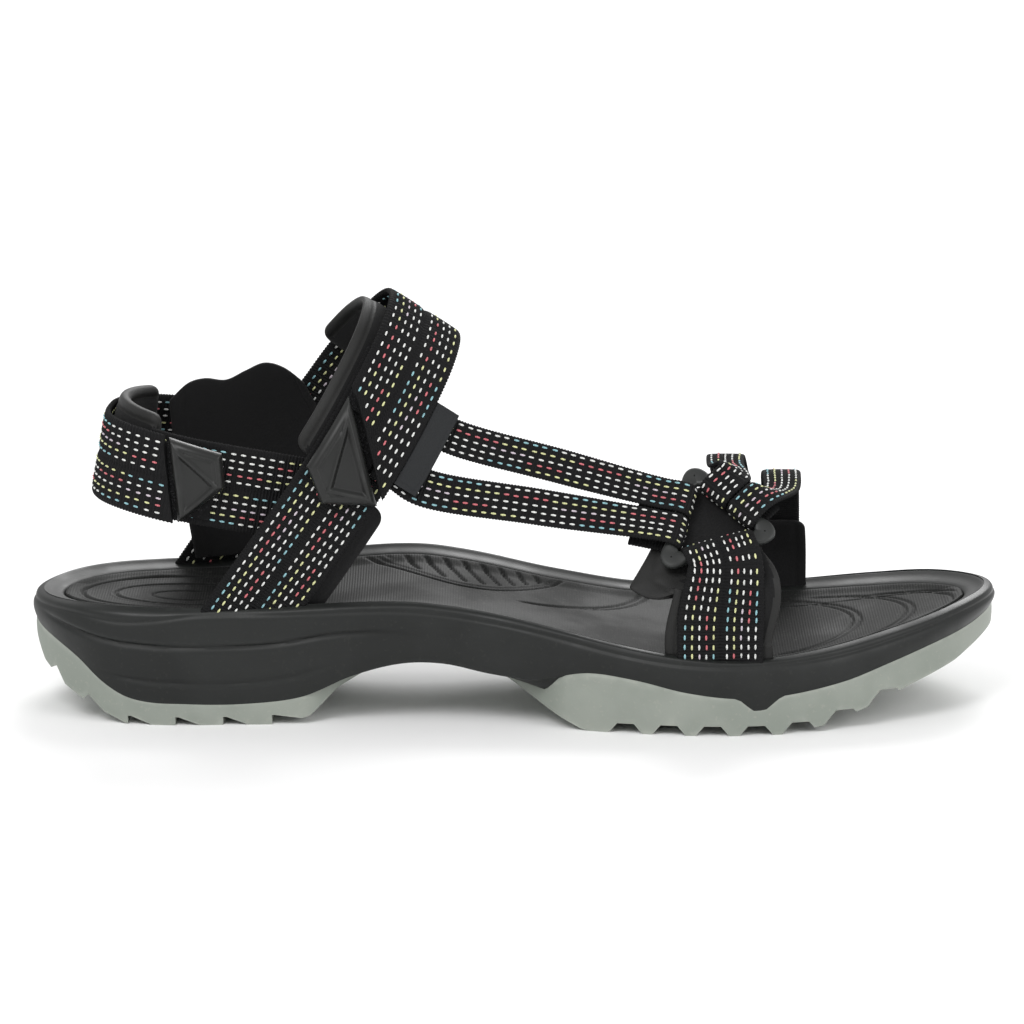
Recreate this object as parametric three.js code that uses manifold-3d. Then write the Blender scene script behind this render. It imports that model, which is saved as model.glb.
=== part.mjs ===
// Strappy sport sandal for the right foot: a cupped sole with a lugged outsole, a heel loop, an instep
// strap that leans forward over the foot, two connector bands and a toe strap on a triangular ring.
// Millimetres. +X runs from heel to toe, -Y is the outer (lateral) side, +Y the inner (medial) side,
// and +Z is up. While the pieces are made, X counts from the back of the heel; the finished group is
// moved so that its origin is under the middle of its box.

import * as THREE from "three";
import { mergeVertices } from "three/addons/utils/BufferGeometryUtils.js";
import Module from "manifold-3d";

const wasm = await Module();
wasm.setup();

// ---- Driving dimensions -------------------------------------------------------------------------

const soleLength = 270;
const heelWidth = 69;
const waistWidth = 64;
const ballWidth = 95;
const soleHeight = 32.5; // top of the rim above the ground, at the heel
const toeShift = 6; // the tip lies this far to the medial side
const instepRise = 85; // crest of the instep strap's inner face above the rim, along its lean
const instepLean = 56; // degrees from the ground
const heelLoopTilt = 10.5; // degrees, down towards the toe

const webbingWidth = 23.5; // two bands side by side
const bandWidth = 10.5;
const webbingThickness = 1.5;
const bandThickness = 1.2;
const liningThickness = 2.2;
const padThickness = 2.5;
const collarThickness = 3;
const heelPadThickness = 4;
const patchThickness = 0.8; // hook or loop tape
const tabThickness = 2.5;
const labelThickness = 0.8;
const labelWidth = 7;

const clearance = 0.35; // between neighbouring pieces
const rimWidth = 9; // midsole rim round the footbed
const slotWall = 2.6; // rim left outside a strap
const slotDepth = 7;
const footbedThickness = 4;
const footbedDrop = 2.5; // footbed edge below the rim
const heelDish = 3;
const shankThickness = 1.8;
const shankWidth = 18;
const shockPadThickness = 3;
const webThickness = 2; // outsole under the arch
const treadThickness = 5; // outsole core at heel and forefoot
const heelLugDepth = 2;
const foreLugDepth = 2.7;

const ringRadius = 1.5; // half the ring wire's thickness
const ringPinch = 0.92; // bands are squeezed by this much where they pass the ring
const ringBandGap = 0.6;

// ---- Small helpers ------------------------------------------------------------------------------

const mix = THREE.MathUtils.lerp;
const step = (from, to, x) => THREE.MathUtils.smoothstep(x, from, to);
const vec = (x, y, z) => new THREE.Vector3(x, y, z);
const radians = THREE.MathUtils.degToRad;

// A smooth curve, or straight lines, through [position, value] pairs.
function profile(pairs, Kind = THREE.CubicInterpolant) {
  const curve = new Kind(
    pairs.map((pair) => pair[0]),
    pairs.map((pair) => pair[1]),
    1,
  );
  return (x) => curve.evaluate(x)[0];
}

// A box whose corners run from -1 to 1, bent into shape by place(u, v, w).
function bent(nu, nv, nw, place) {
  const geometry = new THREE.BoxGeometry(2, 2, 2, nu, nv, nw);
  const spots = geometry.getAttribute("position");
  for (let i = 0; i < spots.count; i++) {
    const { x, y, z } = place(spots.getX(i), spots.getY(i), spots.getZ(i));
    spots.setXYZ(i, x, y, z);
  }
  return facingOut(geometry);
}

// Turns the triangles round when a mapping has left them facing inwards.
function facingOut(geometry) {
  const spots = geometry.getAttribute("position");
  const index = geometry.index.array;
  const [a, b, c] = [vec(), vec(), vec()];
  let volume = 0;
  for (let i = 0; i < index.length; i += 3) {
    a.fromBufferAttribute(spots, index[i]);
    b.fromBufferAttribute(spots, index[i + 1]);
    c.fromBufferAttribute(spots, index[i + 2]);
    volume += a.dot(b.cross(c));
  }
  if (volume < 0) index.reverse();
  return geometry;
}

// The same, with the square of u and v rounded into a disc first.
function rounded(nu, nv, nw, place) {
  return bent(nu, nv, nw, (u, v, w) =>
    place(u * Math.sqrt(1 - (v * v) / 2), v * Math.sqrt(1 - (u * u) / 2), w),
  );
}

function toSolid(geometry) {
  const bare = new THREE.BufferGeometry();
  bare.setAttribute("position", geometry.getAttribute("position").clone());
  if (geometry.index) bare.setIndex(geometry.index.clone());
  const merged = mergeVertices(bare, 1e-4);
  return new wasm.Manifold(
    new wasm.Mesh({
      numProp: 3,
      vertProperties: new Float32Array(merged.getAttribute("position").array),
      triVerts: new Uint32Array(merged.index.array),
    }),
  );
}

function fromSolid(solid) {
  const mesh = solid.getMesh();
  return new THREE.BufferGeometry()
    .setAttribute("position", new THREE.BufferAttribute(new Float32Array(mesh.vertProperties), 3))
    .setIndex(new THREE.BufferAttribute(new Uint32Array(mesh.triVerts), 1));
}

const cutAll = (geometry, cutters) =>
  fromSolid(cutters.reduce((solid, cutter) => solid.subtract(toSolid(cutter)), toSolid(geometry)));

// Takes away what lies below a height.
function trimmed(geometry, height) {
  const size = 2 * soleLength;
  const block = new THREE.BoxGeometry(size, size, size).translate(0, 0, height - size / 2);
  return cutAll(geometry, [block]);
}

const sandal = new THREE.Group();
sandal.name = "sandal";

function add(name, geometry, finish) {
  const mesh = new THREE.Mesh(geometry, finish);
  mesh.name = name;
  sandal.add(mesh);
}

const finish = (color, roughness) =>
  new THREE.MeshStandardMaterial({ color, roughness, metalness: 0 });
const outsoleRubber = finish(0x9aa096, 0.75);
const midsoleFoam = finish(0x2c2e2d, 0.6);
const footbedFoam = finish(0x3c3e3e, 0.85);
const shankNylon = finish(0x1c1d20, 0.5);
const shockFoam = finish(0x6f7681, 0.9);
const webbing = finish(0x141416, 0.8);
const lining = finish(0x1b1c1f, 0.9);
const tape = finish(0x101011, 0.95);
const tabRubber = finish(0x3a3c3d, 0.45);
const ringPlastic = finish(0x303234, 0.4);
const labelCloth = finish(0x26282a, 0.8);

// ---- Places on the shoe -------------------------------------------------------------------------

// Places are written for a 270 mm sole, 69 mm wide at the heel and 95 mm at the ball, with a rim
// 32.5 mm high and an instep 85 mm above it. They move with those sizes.
const share = (x) => x / 270;
const heights = soleHeight / 32.5;
const rise = instepRise / 85;
const heelSpot = (x, y, z) =>
  vec(share(x) * soleLength, (y * heelWidth) / 69, soleHeight + (z - 32.5) * rise);
const foreSpot = (x, y, z) =>
  vec(share(x) * soleLength, (y * ballWidth) / 95, 21 * heights + (z - 21) * rise);

// ---- Sole ---------------------------------------------------------------------------------------

// Half widths at shares of the length, lateral and medial.
const outline = [
  [0.012, 0.2 * heelWidth, 0.2 * heelWidth],
  [0.04, 0.35 * heelWidth, 0.345 * heelWidth],
  [0.13, 0.5 * heelWidth, 0.495 * heelWidth],
  [0.22, 0.495 * heelWidth, 0.485 * heelWidth],
  [0.43, 0.515 * waistWidth, 0.485 * waistWidth],
  [0.52, 0.39 * ballWidth, 0.36 * ballWidth],
  [0.61, 0.458 * ballWidth, 0.43 * ballWidth],
  [0.69, 0.495 * ballWidth, 0.49 * ballWidth],
  [0.74, 0.495 * ballWidth, 0.505 * ballWidth],
  [0.815, 0.463 * ballWidth, 0.49 * ballWidth],
  [0.89, 0.39 * ballWidth, 0.415 * ballWidth],
  [0.945, 0.295 * ballWidth, 0.305 * ballWidth],
  [0.985, 0.152 * ballWidth, 0.155 * ballWidth],
];

// The outline is a circle stretched by its reach, so both ends are round.
const roundness = (s) => Math.sqrt(Math.max(0, 1 - (2 * s - 1) ** 2));
const lateralReach = profile(outline.map(([s, lateral]) => [s, lateral / roundness(s)]));
const medialReach = profile(outline.map(([s, , medial]) => [s, medial / roundness(s)]));
const reach = (s, side) => (side < 0 ? lateralReach : medialReach)(s);
const axisShift = (s) => toeShift * step(0.7, 1, s);

// Heights above the ground, at shares of the length.
const stations = (pairs) => pairs.map(([x, z]) => [share(x), z * heights]);
const underside = profile(
  stations([
    [0, 22],
    [4, 14],
    [10, 9],
    [17, 5],
    [28, 0],
    [76, 0],
    [86, 9],
    [98, 14],
    [113, 15],
    [133, 10.7],
    [144, 5],
    [154, 0],
    [209, 0],
    [221, 2],
    [232, 5.8],
    [244, 10.5],
    [257, 15],
    [270, 22],
  ]),
  THREE.LinearInterpolant,
);
const randLine = profile(
  stations([
    [0, 24.5],
    [8, 21],
    [14, 17.5],
    [21, 11.5],
    [28, 7.6],
    [45, 6],
    [62, 6],
    [77, 8],
    [90, 13.5],
    [104, 17],
    [115, 17],
    [128, 14.5],
    [140, 13.5],
    [155, 16.3],
    [168, 15],
    [182, 12],
    [200, 10.4],
    [225, 13.6],
    [238, 17.4],
    [250, 21],
    [262, 24.2],
    [270, 27.2],
  ]),
);
const lateralRim = profile(
  stations([
    [0, 31.5],
    [12, 32.5],
    [60, 32.5],
    [104, 34],
    [116, 33],
    [131, 30.8],
    [147, 27.7],
    [162, 24.8],
    [180, 22],
    [200, 20.8],
    [219, 22.4],
    [240, 26.2],
    [258, 30],
    [270, 32],
  ]),
);
const medialRim = profile(
  stations([
    [0, 31.5],
    [12, 32.5],
    [45, 33.2],
    [78, 36],
    [107, 38],
    [122, 36],
    [147, 29.6],
    [168, 24.8],
    [188, 23],
    [205, 23],
    [219, 24],
    [240, 27],
    [258, 30.2],
    [270, 32],
  ]),
);
const rimTop = (s, side) => mix(lateralRim(s), medialRim(s), (side + 1) / 2);

// The outsole is thin under the arch, treadThickness thick under heel and ball, and wraps up the side.
const archShare = (s) => step(share(76), share(98), s) * (1 - step(share(128), share(150), s));
function jointHeight(s, ring) {
  const core = underside(s) + mix(treadThickness, webThickness, archShare(s));
  return mix(Math.min(core, randLine(s)), randLine(s), step(0.78, 1, ring));
}

// A spot on the plan of the sole: p runs from heel to toe, q from lateral to medial.
function plan(p, q, inset) {
  const s = (1 + p) / 2;
  const x = soleLength / 2 + p * (soleLength / 2 - inset);
  const y = axisShift(s) + q * (reach(s, q) - inset / Math.max(0.6, roundness(s)));
  return [x, y, Math.min(1, Math.max(0, x / soleLength))];
}

// The rim's outer edge at a place along the sole, moved in by inset.
function rimEdge(x, side, inset) {
  const s = share(x);
  const y = axisShift(s) + side * (reach(s, side) * roundness(s) - inset);
  return vec(s * soleLength, y, rimTop(s, side));
}

const soleStations = 44;
const soleRows = 8;
const jointInset = 1;

const archNarrowing = 0.42;

// The outsole before its lugs are cut. Made thicker, it is the seat that the midsole is cut to.
function outsoleBody(raise, drop) {
  return rounded(soleStations, soleRows, 1, (p, q, w) => {
    const [, , middle] = plan(p, q, jointInset);
    const narrow = 1 - archNarrowing * archShare(middle);
    const [x, y, s] = plan(p, q * narrow, jointInset);
    const ring = p * p + (q * narrow) ** 2;
    return vec(x, y, w > 0 ? jointHeight(s, ring) - clearance + raise : underside(s) - drop);
  });
}

// A cut right across the sole, with its section given as [x, z] corners.
function crossCut(corners) {
  const shape = new THREE.Shape(corners.map(([x, z]) => new THREE.Vector2(x, z)));
  const depth = ballWidth + 30;
  return new THREE.ExtrudeGeometry(shape, { depth, bevelEnabled: false })
    .rotateX(Math.PI / 2)
    .translate(0, depth / 2, 0);
}

const heelLugs = { first: 27, pitch: 13.2, count: 4, slope: 5.5 };
const heelCuts = Array.from({ length: heelLugs.count }, (_, i) => {
  const wall = share(heelLugs.first + heelLugs.pitch * i) * soleLength;
  return crossCut([
    [wall - heelLugs.slope, -1],
    [wall, -1],
    [wall, heelLugDepth],
    [wall - heelLugs.slope, 0],
  ]);
});

const foreLugs = { first: 164, pitch: 12, count: 7, mouth: 5.6, floor: 3 };
const foreCuts = Array.from({ length: foreLugs.count }, (_, i) => {
  const middle = share(foreLugs.first + foreLugs.pitch * i) * soleLength;
  const ground = underside(middle / soleLength);
  return crossCut([
    [middle - foreLugs.mouth / 2, ground - foreLugDepth],
    [middle + foreLugs.mouth / 2, ground - foreLugDepth],
    [middle + foreLugs.mouth / 2, ground],
    [middle + foreLugs.floor / 2, ground + foreLugDepth],
    [middle - foreLugs.floor / 2, ground + foreLugDepth],
    [middle - foreLugs.mouth / 2, ground],
  ]);
});
add("outsole", cutAll(outsoleBody(0, 0), [...heelCuts, ...foreCuts]), outsoleRubber);

const midsoleBlank = rounded(soleStations, soleRows, 4, (p, q, w) => {
  const level = (w + 1) / 2;
  const bulge = Math.sin(Math.PI * level) * 1.2;
  const inset = mix(jointInset, 1.6, level) - bulge;
  const [x, y, s] = plan(p, q, inset);
  const ring = p * p + q * q;
  return vec(x, y, mix(jointHeight(s, ring), rimTop(s, q), level));
});

// The footbed's top surface, dished under the heel.
function footbedTop(p, q, s) {
  const dish = heelDish * (1 - step(share(70), share(110), s)) + 1;
  return rimTop(s, q) - footbedDrop - dish * (1 - p * p - q * q) * roundness(s);
}

const footbedStations = 34;
const footbedRows = 8;
function footbedBody(inset, below, above) {
  return rounded(footbedStations, footbedRows, 1, (p, q, w) => {
    const [x, y, s] = plan(p, q, inset);
    return vec(x, y, footbedTop(p, q, s) + (w > 0 ? above : -below));
  });
}
add("footbed", footbedBody(rimWidth, footbedThickness, 0), footbedFoam);
const footbedPocket = footbedBody(
  rimWidth - clearance,
  footbedThickness + clearance,
  2 * footbedDrop + heelDish + 4,
);

// A soft disc under the heel, in a round pocket below the footbed.
const shockSize = { middle: 36, along: 24, across: 17 };
function shockBody(grow, below, above) {
  return rounded(10, 8, 1, (p, q, w) => {
    const middle = share(shockSize.middle) * soleLength;
    const x = middle + p * (shockSize.along + grow);
    const y = q * (shockSize.across + grow);
    const s = x / soleLength;
    const outer = soleLength / 2 - rimWidth;
    const bedP = (x - soleLength / 2) / outer;
    const bedQ = y / (reach(s, y) - rimWidth);
    const under = footbedTop(bedP, bedQ, s) - footbedThickness - clearance;
    return vec(x, y, under + (w > 0 ? above : -below));
  });
}
add("heel_shock_pad", shockBody(0, shockPadThickness + clearance, -clearance), shockFoam);
const shockPocket = shockBody(clearance, shockPadThickness + 2 * clearance, 2);

// A stiff strip that bridges the arch, in a groove of the midsole's underside.
const shankSpan = { from: 74, to: 148 };
function shankBody(grow, below, above) {
  return bent(12, 2, 1, (u, v, w) => {
    const from = share(shankSpan.from) * soleLength - grow;
    const to = share(shankSpan.to) * soleLength + grow;
    const x = mix(from, to, (u + 1) / 2);
    const y = (v * (shankWidth + 2 * grow)) / 2;
    return vec(x, y, jointHeight(x / soleLength, 0) + (w > 0 ? above : -below));
  });
}
add("shank", shankBody(0, 0, shankThickness), shankNylon);
const shankPocket = shankBody(clearance, 3, shankThickness + clearance);

// ---- Ribbons ------------------------------------------------------------------------------------

// A ribbon is a row of stations along a curve, each with its middle, its width direction and the
// direction of its outer face. Straps, pads and tapes on one ribbon share those stations.
function ribbon(points, across, steps, even = true) {
  const path = new THREE.CatmullRomCurve3(points, false, "centripetal");
  const sides = new THREE.CatmullRomCurve3(across, false, "centripetal");
  const length = path.getLength();
  const rows = Array.from({ length: steps + 1 }, (_, i) => {
    const t = even ? path.getUtoTmapping(i / steps) : i / steps;
    const tangent = path.getTangent(t);
    const face = sides.getPoint(t).cross(tangent).normalize();
    const side = tangent.clone().cross(face).normalize();
    return { middle: path.getPoint(t), tangent, side, face };
  });
  return { rows, steps, length };
}

// A point on a ribbon: station counts rows, and may be a fraction.
function onRibbon({ rows, steps }, station, aside, lift) {
  const low = Math.min(steps - 1, Math.max(0, Math.floor(station)));
  const part = station - low;
  const spot = (row) =>
    row.middle
      .clone()
      .addScaledVector(row.side, aside)
      .addScaledVector(row.face, lift);
  return spot(rows[low]).lerp(spot(rows[low + 1]), part);
}

const constant = (value) => (typeof value === "function" ? value : () => value);

// A layer of a ribbon between two stations, which bends at each station on its way.
function layer(band, { from, to, width, thickness, lift = 0, aside = 0 }) {
  const stops = [from];
  for (let i = Math.floor(from) + 1; i < to - 0.01; i++) if (i > from + 0.01) stops.push(i);
  stops.push(to);
  const [liftAt, widthAt, asideAt, thickAt] = [lift, width, aside, thickness].map(constant);
  return bent(stops.length - 1, 1, 1, (u, v, w) => {
    const station = stops[Math.round(((u + 1) / 2) * (stops.length - 1))];
    const offset = asideAt(station) + (v * widthAt(station)) / 2;
    return onRibbon(band, station, offset, liftAt(station) + ((w + 1) / 2) * thickAt(station));
  });
}

// A patch with four corners, each given as [millimetres along the ribbon, aside].
function patch(band, corners, lift, thickness) {
  const [[s0, a0], [s1, a1], [s2, a2], [s3, a3]] = corners;
  return bent(5, 4, 1, (u, v, w) => {
    const [i, j] = [(u + 1) / 2, (v + 1) / 2];
    const along = mix(mix(s0, s1, i), mix(s3, s2, i), j);
    const aside = mix(mix(a0, a1, i), mix(a3, a2, i), j);
    return onRibbon(band, station(band, along), aside, lift + ((w + 1) / 2) * thickness);
  });
}

const station = (band, millimetres) => (millimetres / band.length) * band.steps;

// ---- Instep hoop: the leaning strap from the lateral sole over the foot to the medial sole ------

const instepUp = vec(Math.cos(radians(instepLean)), 0, Math.sin(radians(instepLean)));
const lateralStack = liningThickness + clearance + webbingThickness;
const lateralFoot = rimEdge(62.5, -1, slotWall + lateralStack);
const medialFoot = rimEdge(53.5, 1, slotWall + webbingThickness);

// The leaning strap starts this far below the rim, so that its level end fills the slot.
const strapSpread = 6; // the widest lining reaches this far past half the webbing
const hoopRoot = slotDepth + (webbingWidth / 2 + strapSpread) / Math.tan(radians(instepLean));

// [share of the way across, height along the lean] from the lateral foot to the medial foot.
const arch = [
  [0, -hoopRoot],
  [0, 0],
  [-0.028, 20 * rise],
  [-0.028, 40 * rise],
  [0.02, 55 * rise],
  [0.14, 69 * rise],
  [0.3, 80 * rise],
  [0.5, instepRise],
  [0.7, 80 * rise],
  [0.86, 67 * rise],
  [0.965, 50 * rise],
  [1.005, 25 * rise],
  [1, 0],
  [1, -hoopRoot],
];
const instepAcross = medialFoot.clone().sub(lateralFoot).setZ(0).normalize().cross(instepUp);
const hoop = ribbon(
  arch.map(([a, h]) => lateralFoot.clone().lerp(medialFoot, a).addScaledVector(instepUp, h)),
  arch.map(() => instepAcross),
  46,
);
const hoopAt = (millimetres) => station(hoop, hoopRoot + millimetres);
const hoopEnd = hoop.length - 2 * hoopRoot; // medial rim, measured from the lateral rim

// Heights of the layers above the hoop's inner face.
const strapLift = padThickness + clearance;
const loopLift = strapLift + webbingThickness + clearance;
const hookLift = loopLift + patchThickness + clearance;
const flapLift = hookLift + patchThickness + clearance;

const padStart = 44 * rise; // lateral end of the instep pad, above the rim
const padEnd = hoopEnd - 70 * rise;
const baseEnd = 78 * rise; // free end of the lateral strap, under the flap
const hingeAt = 86 * rise;
const hingeGap = 0.5;
const liningAside = 3.5;

const lateralLining = {
  from: 0,
  to: hoopAt(padStart - 1.5),
  width: webbingWidth + 2,
  aside: liningAside,
  thickness: liningThickness,
};
const lateralStrap = {
  from: 0,
  to: hoopAt(baseEnd),
  width: webbingWidth,
  thickness: webbingThickness,
  lift: (at) =>
    strapLift - (padThickness - liningThickness) * (1 - step(hoopAt(0), hoopAt(padStart - 6), at)),
};
const slotFloor = (x, side) => rimTop(share(x), side) - slotDepth;
const lateralFloor = slotFloor(62.5, -1);
add("lateral_rear_strap", trimmed(layer(hoop, lateralStrap), lateralFloor), webbing);
add("lateral_rear_lining", trimmed(layer(hoop, lateralLining), lateralFloor), lining);

add(
  "instep_pad",
  layer(hoop, {
    from: hoopAt(padStart),
    to: hoopAt(padEnd),
    width: webbingWidth + 6,
    aside: -1.5,
    thickness: padThickness,
  }),
  lining,
);
add(
  "instep_loop_patch",
  layer(hoop, {
    from: hoopAt(48 * rise),
    to: hoopAt(baseEnd - 2),
    width: webbingWidth - 8,
    aside: -3,
    thickness: patchThickness,
    lift: loopLift,
  }),
  tape,
);
add(
  "instep_hook_patch",
  layer(hoop, {
    from: hoopAt(60 * rise),
    to: hoopAt(baseEnd - 2),
    width: webbingWidth - 8,
    aside: -3,
    thickness: patchThickness,
    lift: hookLift,
  }),
  tape,
);

// The strap comes up from the medial sole and sinks onto the lining below the pad's end.
const medialFloor = slotFloor(53.5, 1);
add(
  "instep_strap",
  trimmed(
    layer(hoop, {
      from: hoopAt(hingeAt + hingeGap / 2),
      to: hoop.steps,
      width: webbingWidth,
      thickness: webbingThickness,
      lift: (at) =>
        flapLift -
        (flapLift - strapLift) * step(hoopAt(hingeAt + 4), hoopAt(hingeAt + 30), at) -
        strapLift * step(hoopAt(padEnd), hoopAt(padEnd + 16), at),
    }),
    medialFloor,
  ),
  webbing,
);

// Corners of the pull tab, [above the lateral rim, aside]: two on the flap's slanted end, two at its tip.
const tabBase = [
  [62 * rise, -webbingWidth / 2 + 0.6],
  [43 * rise, webbingWidth / 2 - 0.4],
];
const tabTip = [
  [36 * rise, -2],
  [42 * rise, -webbingWidth / 2 + 0.6],
];
const fromRim = ([above, aside]) => [hoopRoot + above, aside];
add(
  "instep_tab",
  patch(hoop, [...tabBase, ...tabTip].map(fromRim), flapLift, tabThickness),
  tabRubber,
);
const tabSlope = (tabBase[1][0] - tabBase[0][0]) / (tabBase[1][1] - tabBase[0][1]);
const flapEnd = (aside) => [tabBase[0][0] + tabSlope * (aside - tabBase[0][1]) + clearance * 1.4, aside];
const flapReach = webbingWidth / 2 + 2;
const flapTrim = patch(
  hoop,
  [flapEnd(-flapReach), flapEnd(flapReach), [20, flapReach], [20, -flapReach]].map(fromRim),
  flapLift - 2,
  webbingThickness + 4,
);
add(
  "instep_flap",
  cutAll(
    layer(hoop, {
      from: hoopAt(tabBase[1][0] - 8),
      to: hoopAt(hingeAt - hingeGap / 2),
      width: webbingWidth,
      thickness: webbingThickness,
      lift: flapLift,
    }),
    [flapTrim],
  ),
  webbing,
);
add(
  "side_label",
  layer(hoop, {
    from: hoopAt(50 * rise),
    to: hoopAt(73 * rise),
    width: labelWidth,
    aside: webbingWidth / 2 + clearance + labelWidth / 2,
    thickness: labelThickness,
    lift: flapLift,
  }),
  labelCloth,
);

// ---- Heel loop ----------------------------------------------------------------------------------

const heelUp = vec(Math.sin(radians(heelLoopTilt)), 0, Math.cos(radians(heelLoopTilt)));
const heelRoute = [
  [80, -27],
  [68, -27],
  [56, -27.6],
  [42, -27.2],
  [31, -21.5],
  [24, -12],
  [21.5, 0],
  [24, 12],
  [31, 22],
  [41, 28.2],
  [52, 31.2],
  [62, 31.6],
];
const loopHeight = 72.3; // middle of the strap at the back of the heel
const heelPoints = heelRoute.map(([x, y]) =>
  heelSpot(x, y, loopHeight - (x - 21.5) * Math.tan(radians(heelLoopTilt))),
);
// Its front end lies against the inner face of the instep hoop, which turns inwards as it rises.
const hoopInner = profile(arch.slice(0, 8).map(([a, h]) => [h, mix(lateralFoot.y, medialFoot.y, a)]));
for (const point of heelPoints.slice(0, 2)) {
  const edge = point.clone().addScaledVector(heelUp, webbingWidth / 2);
  point.y = hoopInner(edge.sub(lateralFoot).dot(instepUp)) + 2 * clearance + webbingThickness;
}
const heelLoop = ribbon(
  heelPoints,
  heelRoute.map(() => heelUp),
  34,
);
const loopAt = (millimetres) => station(heelLoop, millimetres * (soleLength / 270));

const heelLoopLift = webbingThickness + clearance;
const heelHookLift = heelLoopLift + patchThickness + clearance;
const heelFlapLift = heelHookLift + patchThickness + clearance;
const heelHinge = 52;
const heelBase = { from: 0, to: 48 };

add(
  "heel_base_strap",
  layer(heelLoop, {
    from: loopAt(heelBase.from),
    to: loopAt(heelBase.to),
    width: webbingWidth,
    thickness: webbingThickness,
  }),
  webbing,
);
add(
  "heel_loop_patch",
  layer(heelLoop, {
    from: loopAt(28),
    to: loopAt(heelBase.to - 1),
    width: webbingWidth - 4,
    thickness: patchThickness,
    lift: heelLoopLift,
  }),
  tape,
);
add(
  "heel_hook_patch",
  layer(heelLoop, {
    from: loopAt(36),
    to: loopAt(heelBase.to - 1),
    width: webbingWidth - 4,
    thickness: patchThickness,
    lift: heelHookLift,
  }),
  tape,
);
add(
  "heel_strap",
  layer(heelLoop, {
    from: loopAt(heelHinge) + (hingeGap / 2 / heelLoop.length) * heelLoop.steps,
    to: heelLoop.steps,
    width: webbingWidth,
    thickness: webbingThickness,
    lift: (at) => heelFlapLift * (1 - step(loopAt(heelHinge + 2), loopAt(heelHinge + 26), at)),
  }),
  webbing,
);
add(
  "heel_back_pad",
  layer(heelLoop, {
    from: loopAt(52),
    to: loopAt(100),
    width: webbingWidth + 3,
    aside: 2,
    thickness: heelPadThickness,
    lift: -heelPadThickness - clearance,
  }),
  lining,
);

const heelTab = [
  [41, webbingWidth / 2 - 0.4],
  [35.5, -webbingWidth / 2 + 0.4],
  [25, 0.6],
  [27.5, webbingWidth / 2 - 2],
].map(([along, aside]) => [along * (soleLength / 270), aside]);
add("heel_tab", patch(heelLoop, heelTab, heelFlapLift, tabThickness), tabRubber);
const heelSlope = (heelTab[1][0] - heelTab[0][0]) / (heelTab[1][1] - heelTab[0][1]);
const heelFlapEnd = (aside) => [
  heelTab[0][0] + heelSlope * (aside - heelTab[0][1]) + clearance * 1.4,
  aside,
];
const heelTrim = patch(
  heelLoop,
  [heelFlapEnd(flapReach), heelFlapEnd(-flapReach), [10, -flapReach], [10, flapReach]],
  heelFlapLift - 2,
  webbingThickness + 4,
);
add(
  "heel_flap",
  cutAll(
    layer(heelLoop, {
      from: loopAt(30),
      to: loopAt(heelHinge) - (hingeGap / 2 / heelLoop.length) * heelLoop.steps,
      width: webbingWidth,
      thickness: webbingThickness,
      lift: heelFlapLift,
    }),
    [heelTrim],
  ),
  webbing,
);

// ---- Medial collar pad --------------------------------------------------------------------------

// Its rear and front edges and its scalloped top, as [position, value] pairs.
const collarRear = profile([
  [0, 45],
  [0.25, 44],
  [0.6, 42],
  [1, 41.5],
]);
const collarFront = profile([
  [0, 70],
  [0.3, 80],
  [0.6, 84],
  [1, 76],
]);
const collarTop = profile([
  [0, 83],
  [0.25, 86],
  [0.42, 85.5],
  [0.7, 90],
  [1, 86],
]);
const hoopSide = profile(
  arch
    .slice(8)
    .reverse()
    .map(([a, h]) => [h, lateralFoot.y + (medialFoot.y - lateralFoot.y) * a]),
);
const collarBend = 0.012; // how fast its rear edge turns in with the heel
add(
  "medial_collar_pad",
  bent(8, 12, 1, (u, v, w) => {
    const level = (v + 1) / 2;
    const along = (u + 1) / 2;
    const x = mix(collarRear(level), collarFront(level), along);
    const bottom = rimTop(share(x), 1) + 2 * clearance;
    const z = mix(bottom, heelSpot(0, 0, collarTop(along)).z, level);
    const spot = vec(share(x) * soleLength, medialFoot.y, z).sub(medialFoot);
    const outer =
      hoopSide(Math.max(0, spot.dot(instepUp))) +
      instepAcross.y * spot.dot(instepAcross) -
      2 * clearance -
      collarBend * Math.max(0, 52 - x) ** 2;
    return vec(spot.x + medialFoot.x, outer - (w > 0 ? 0 : collarThickness), z);
  }),
  lining,
);

// ---- Triangular ring and the straps looped round it ---------------------------------------------

const loopOffset = ringRadius + clearance + bandThickness / 2;
const ringStrapWidth = 2 * bandWidth * ringPinch + ringBandGap;
const ringCornerRoom = Math.sqrt(3) * (loopOffset + bandThickness / 2) + clearance;
const ringSide = ringStrapWidth + 2 * ringCornerRoom;
const ringCentre = foreSpot(188.4, -33.5, 57);
const ringNormal = vec(-0.079, -0.724, 0.685).normalize();
const ringTop = vec(-0.263, 0.677, 0.689).projectOnPlane(ringNormal).normalize();
const ringAcross = ringNormal.clone().cross(ringTop);
const ringCorner = (turn) => {
  const angle = radians(turn);
  return ringCentre
    .clone()
    .addScaledVector(ringTop, (Math.cos(angle) * ringSide) / Math.sqrt(3))
    .addScaledVector(ringAcross, (Math.sin(angle) * ringSide) / Math.sqrt(3));
};
const corners = [ringCorner(0), ringCorner(120), ringCorner(240)];

const ringCornerRadius = 4;
const ringPath = new THREE.CurvePath();
corners.forEach((corner, i) => {
  const next = corners[(i + 1) % 3];
  const after = corners[(i + 2) % 3];
  const leave = corner.clone().lerp(next, ringCornerRadius / ringSide);
  const arrive = next.clone().lerp(corner, ringCornerRadius / ringSide);
  const turned = next.clone().lerp(after, ringCornerRadius / ringSide);
  ringPath.add(new THREE.LineCurve3(leave, arrive));
  ringPath.add(new THREE.QuadraticBezierCurve3(arrive, next, turned));
});

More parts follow.
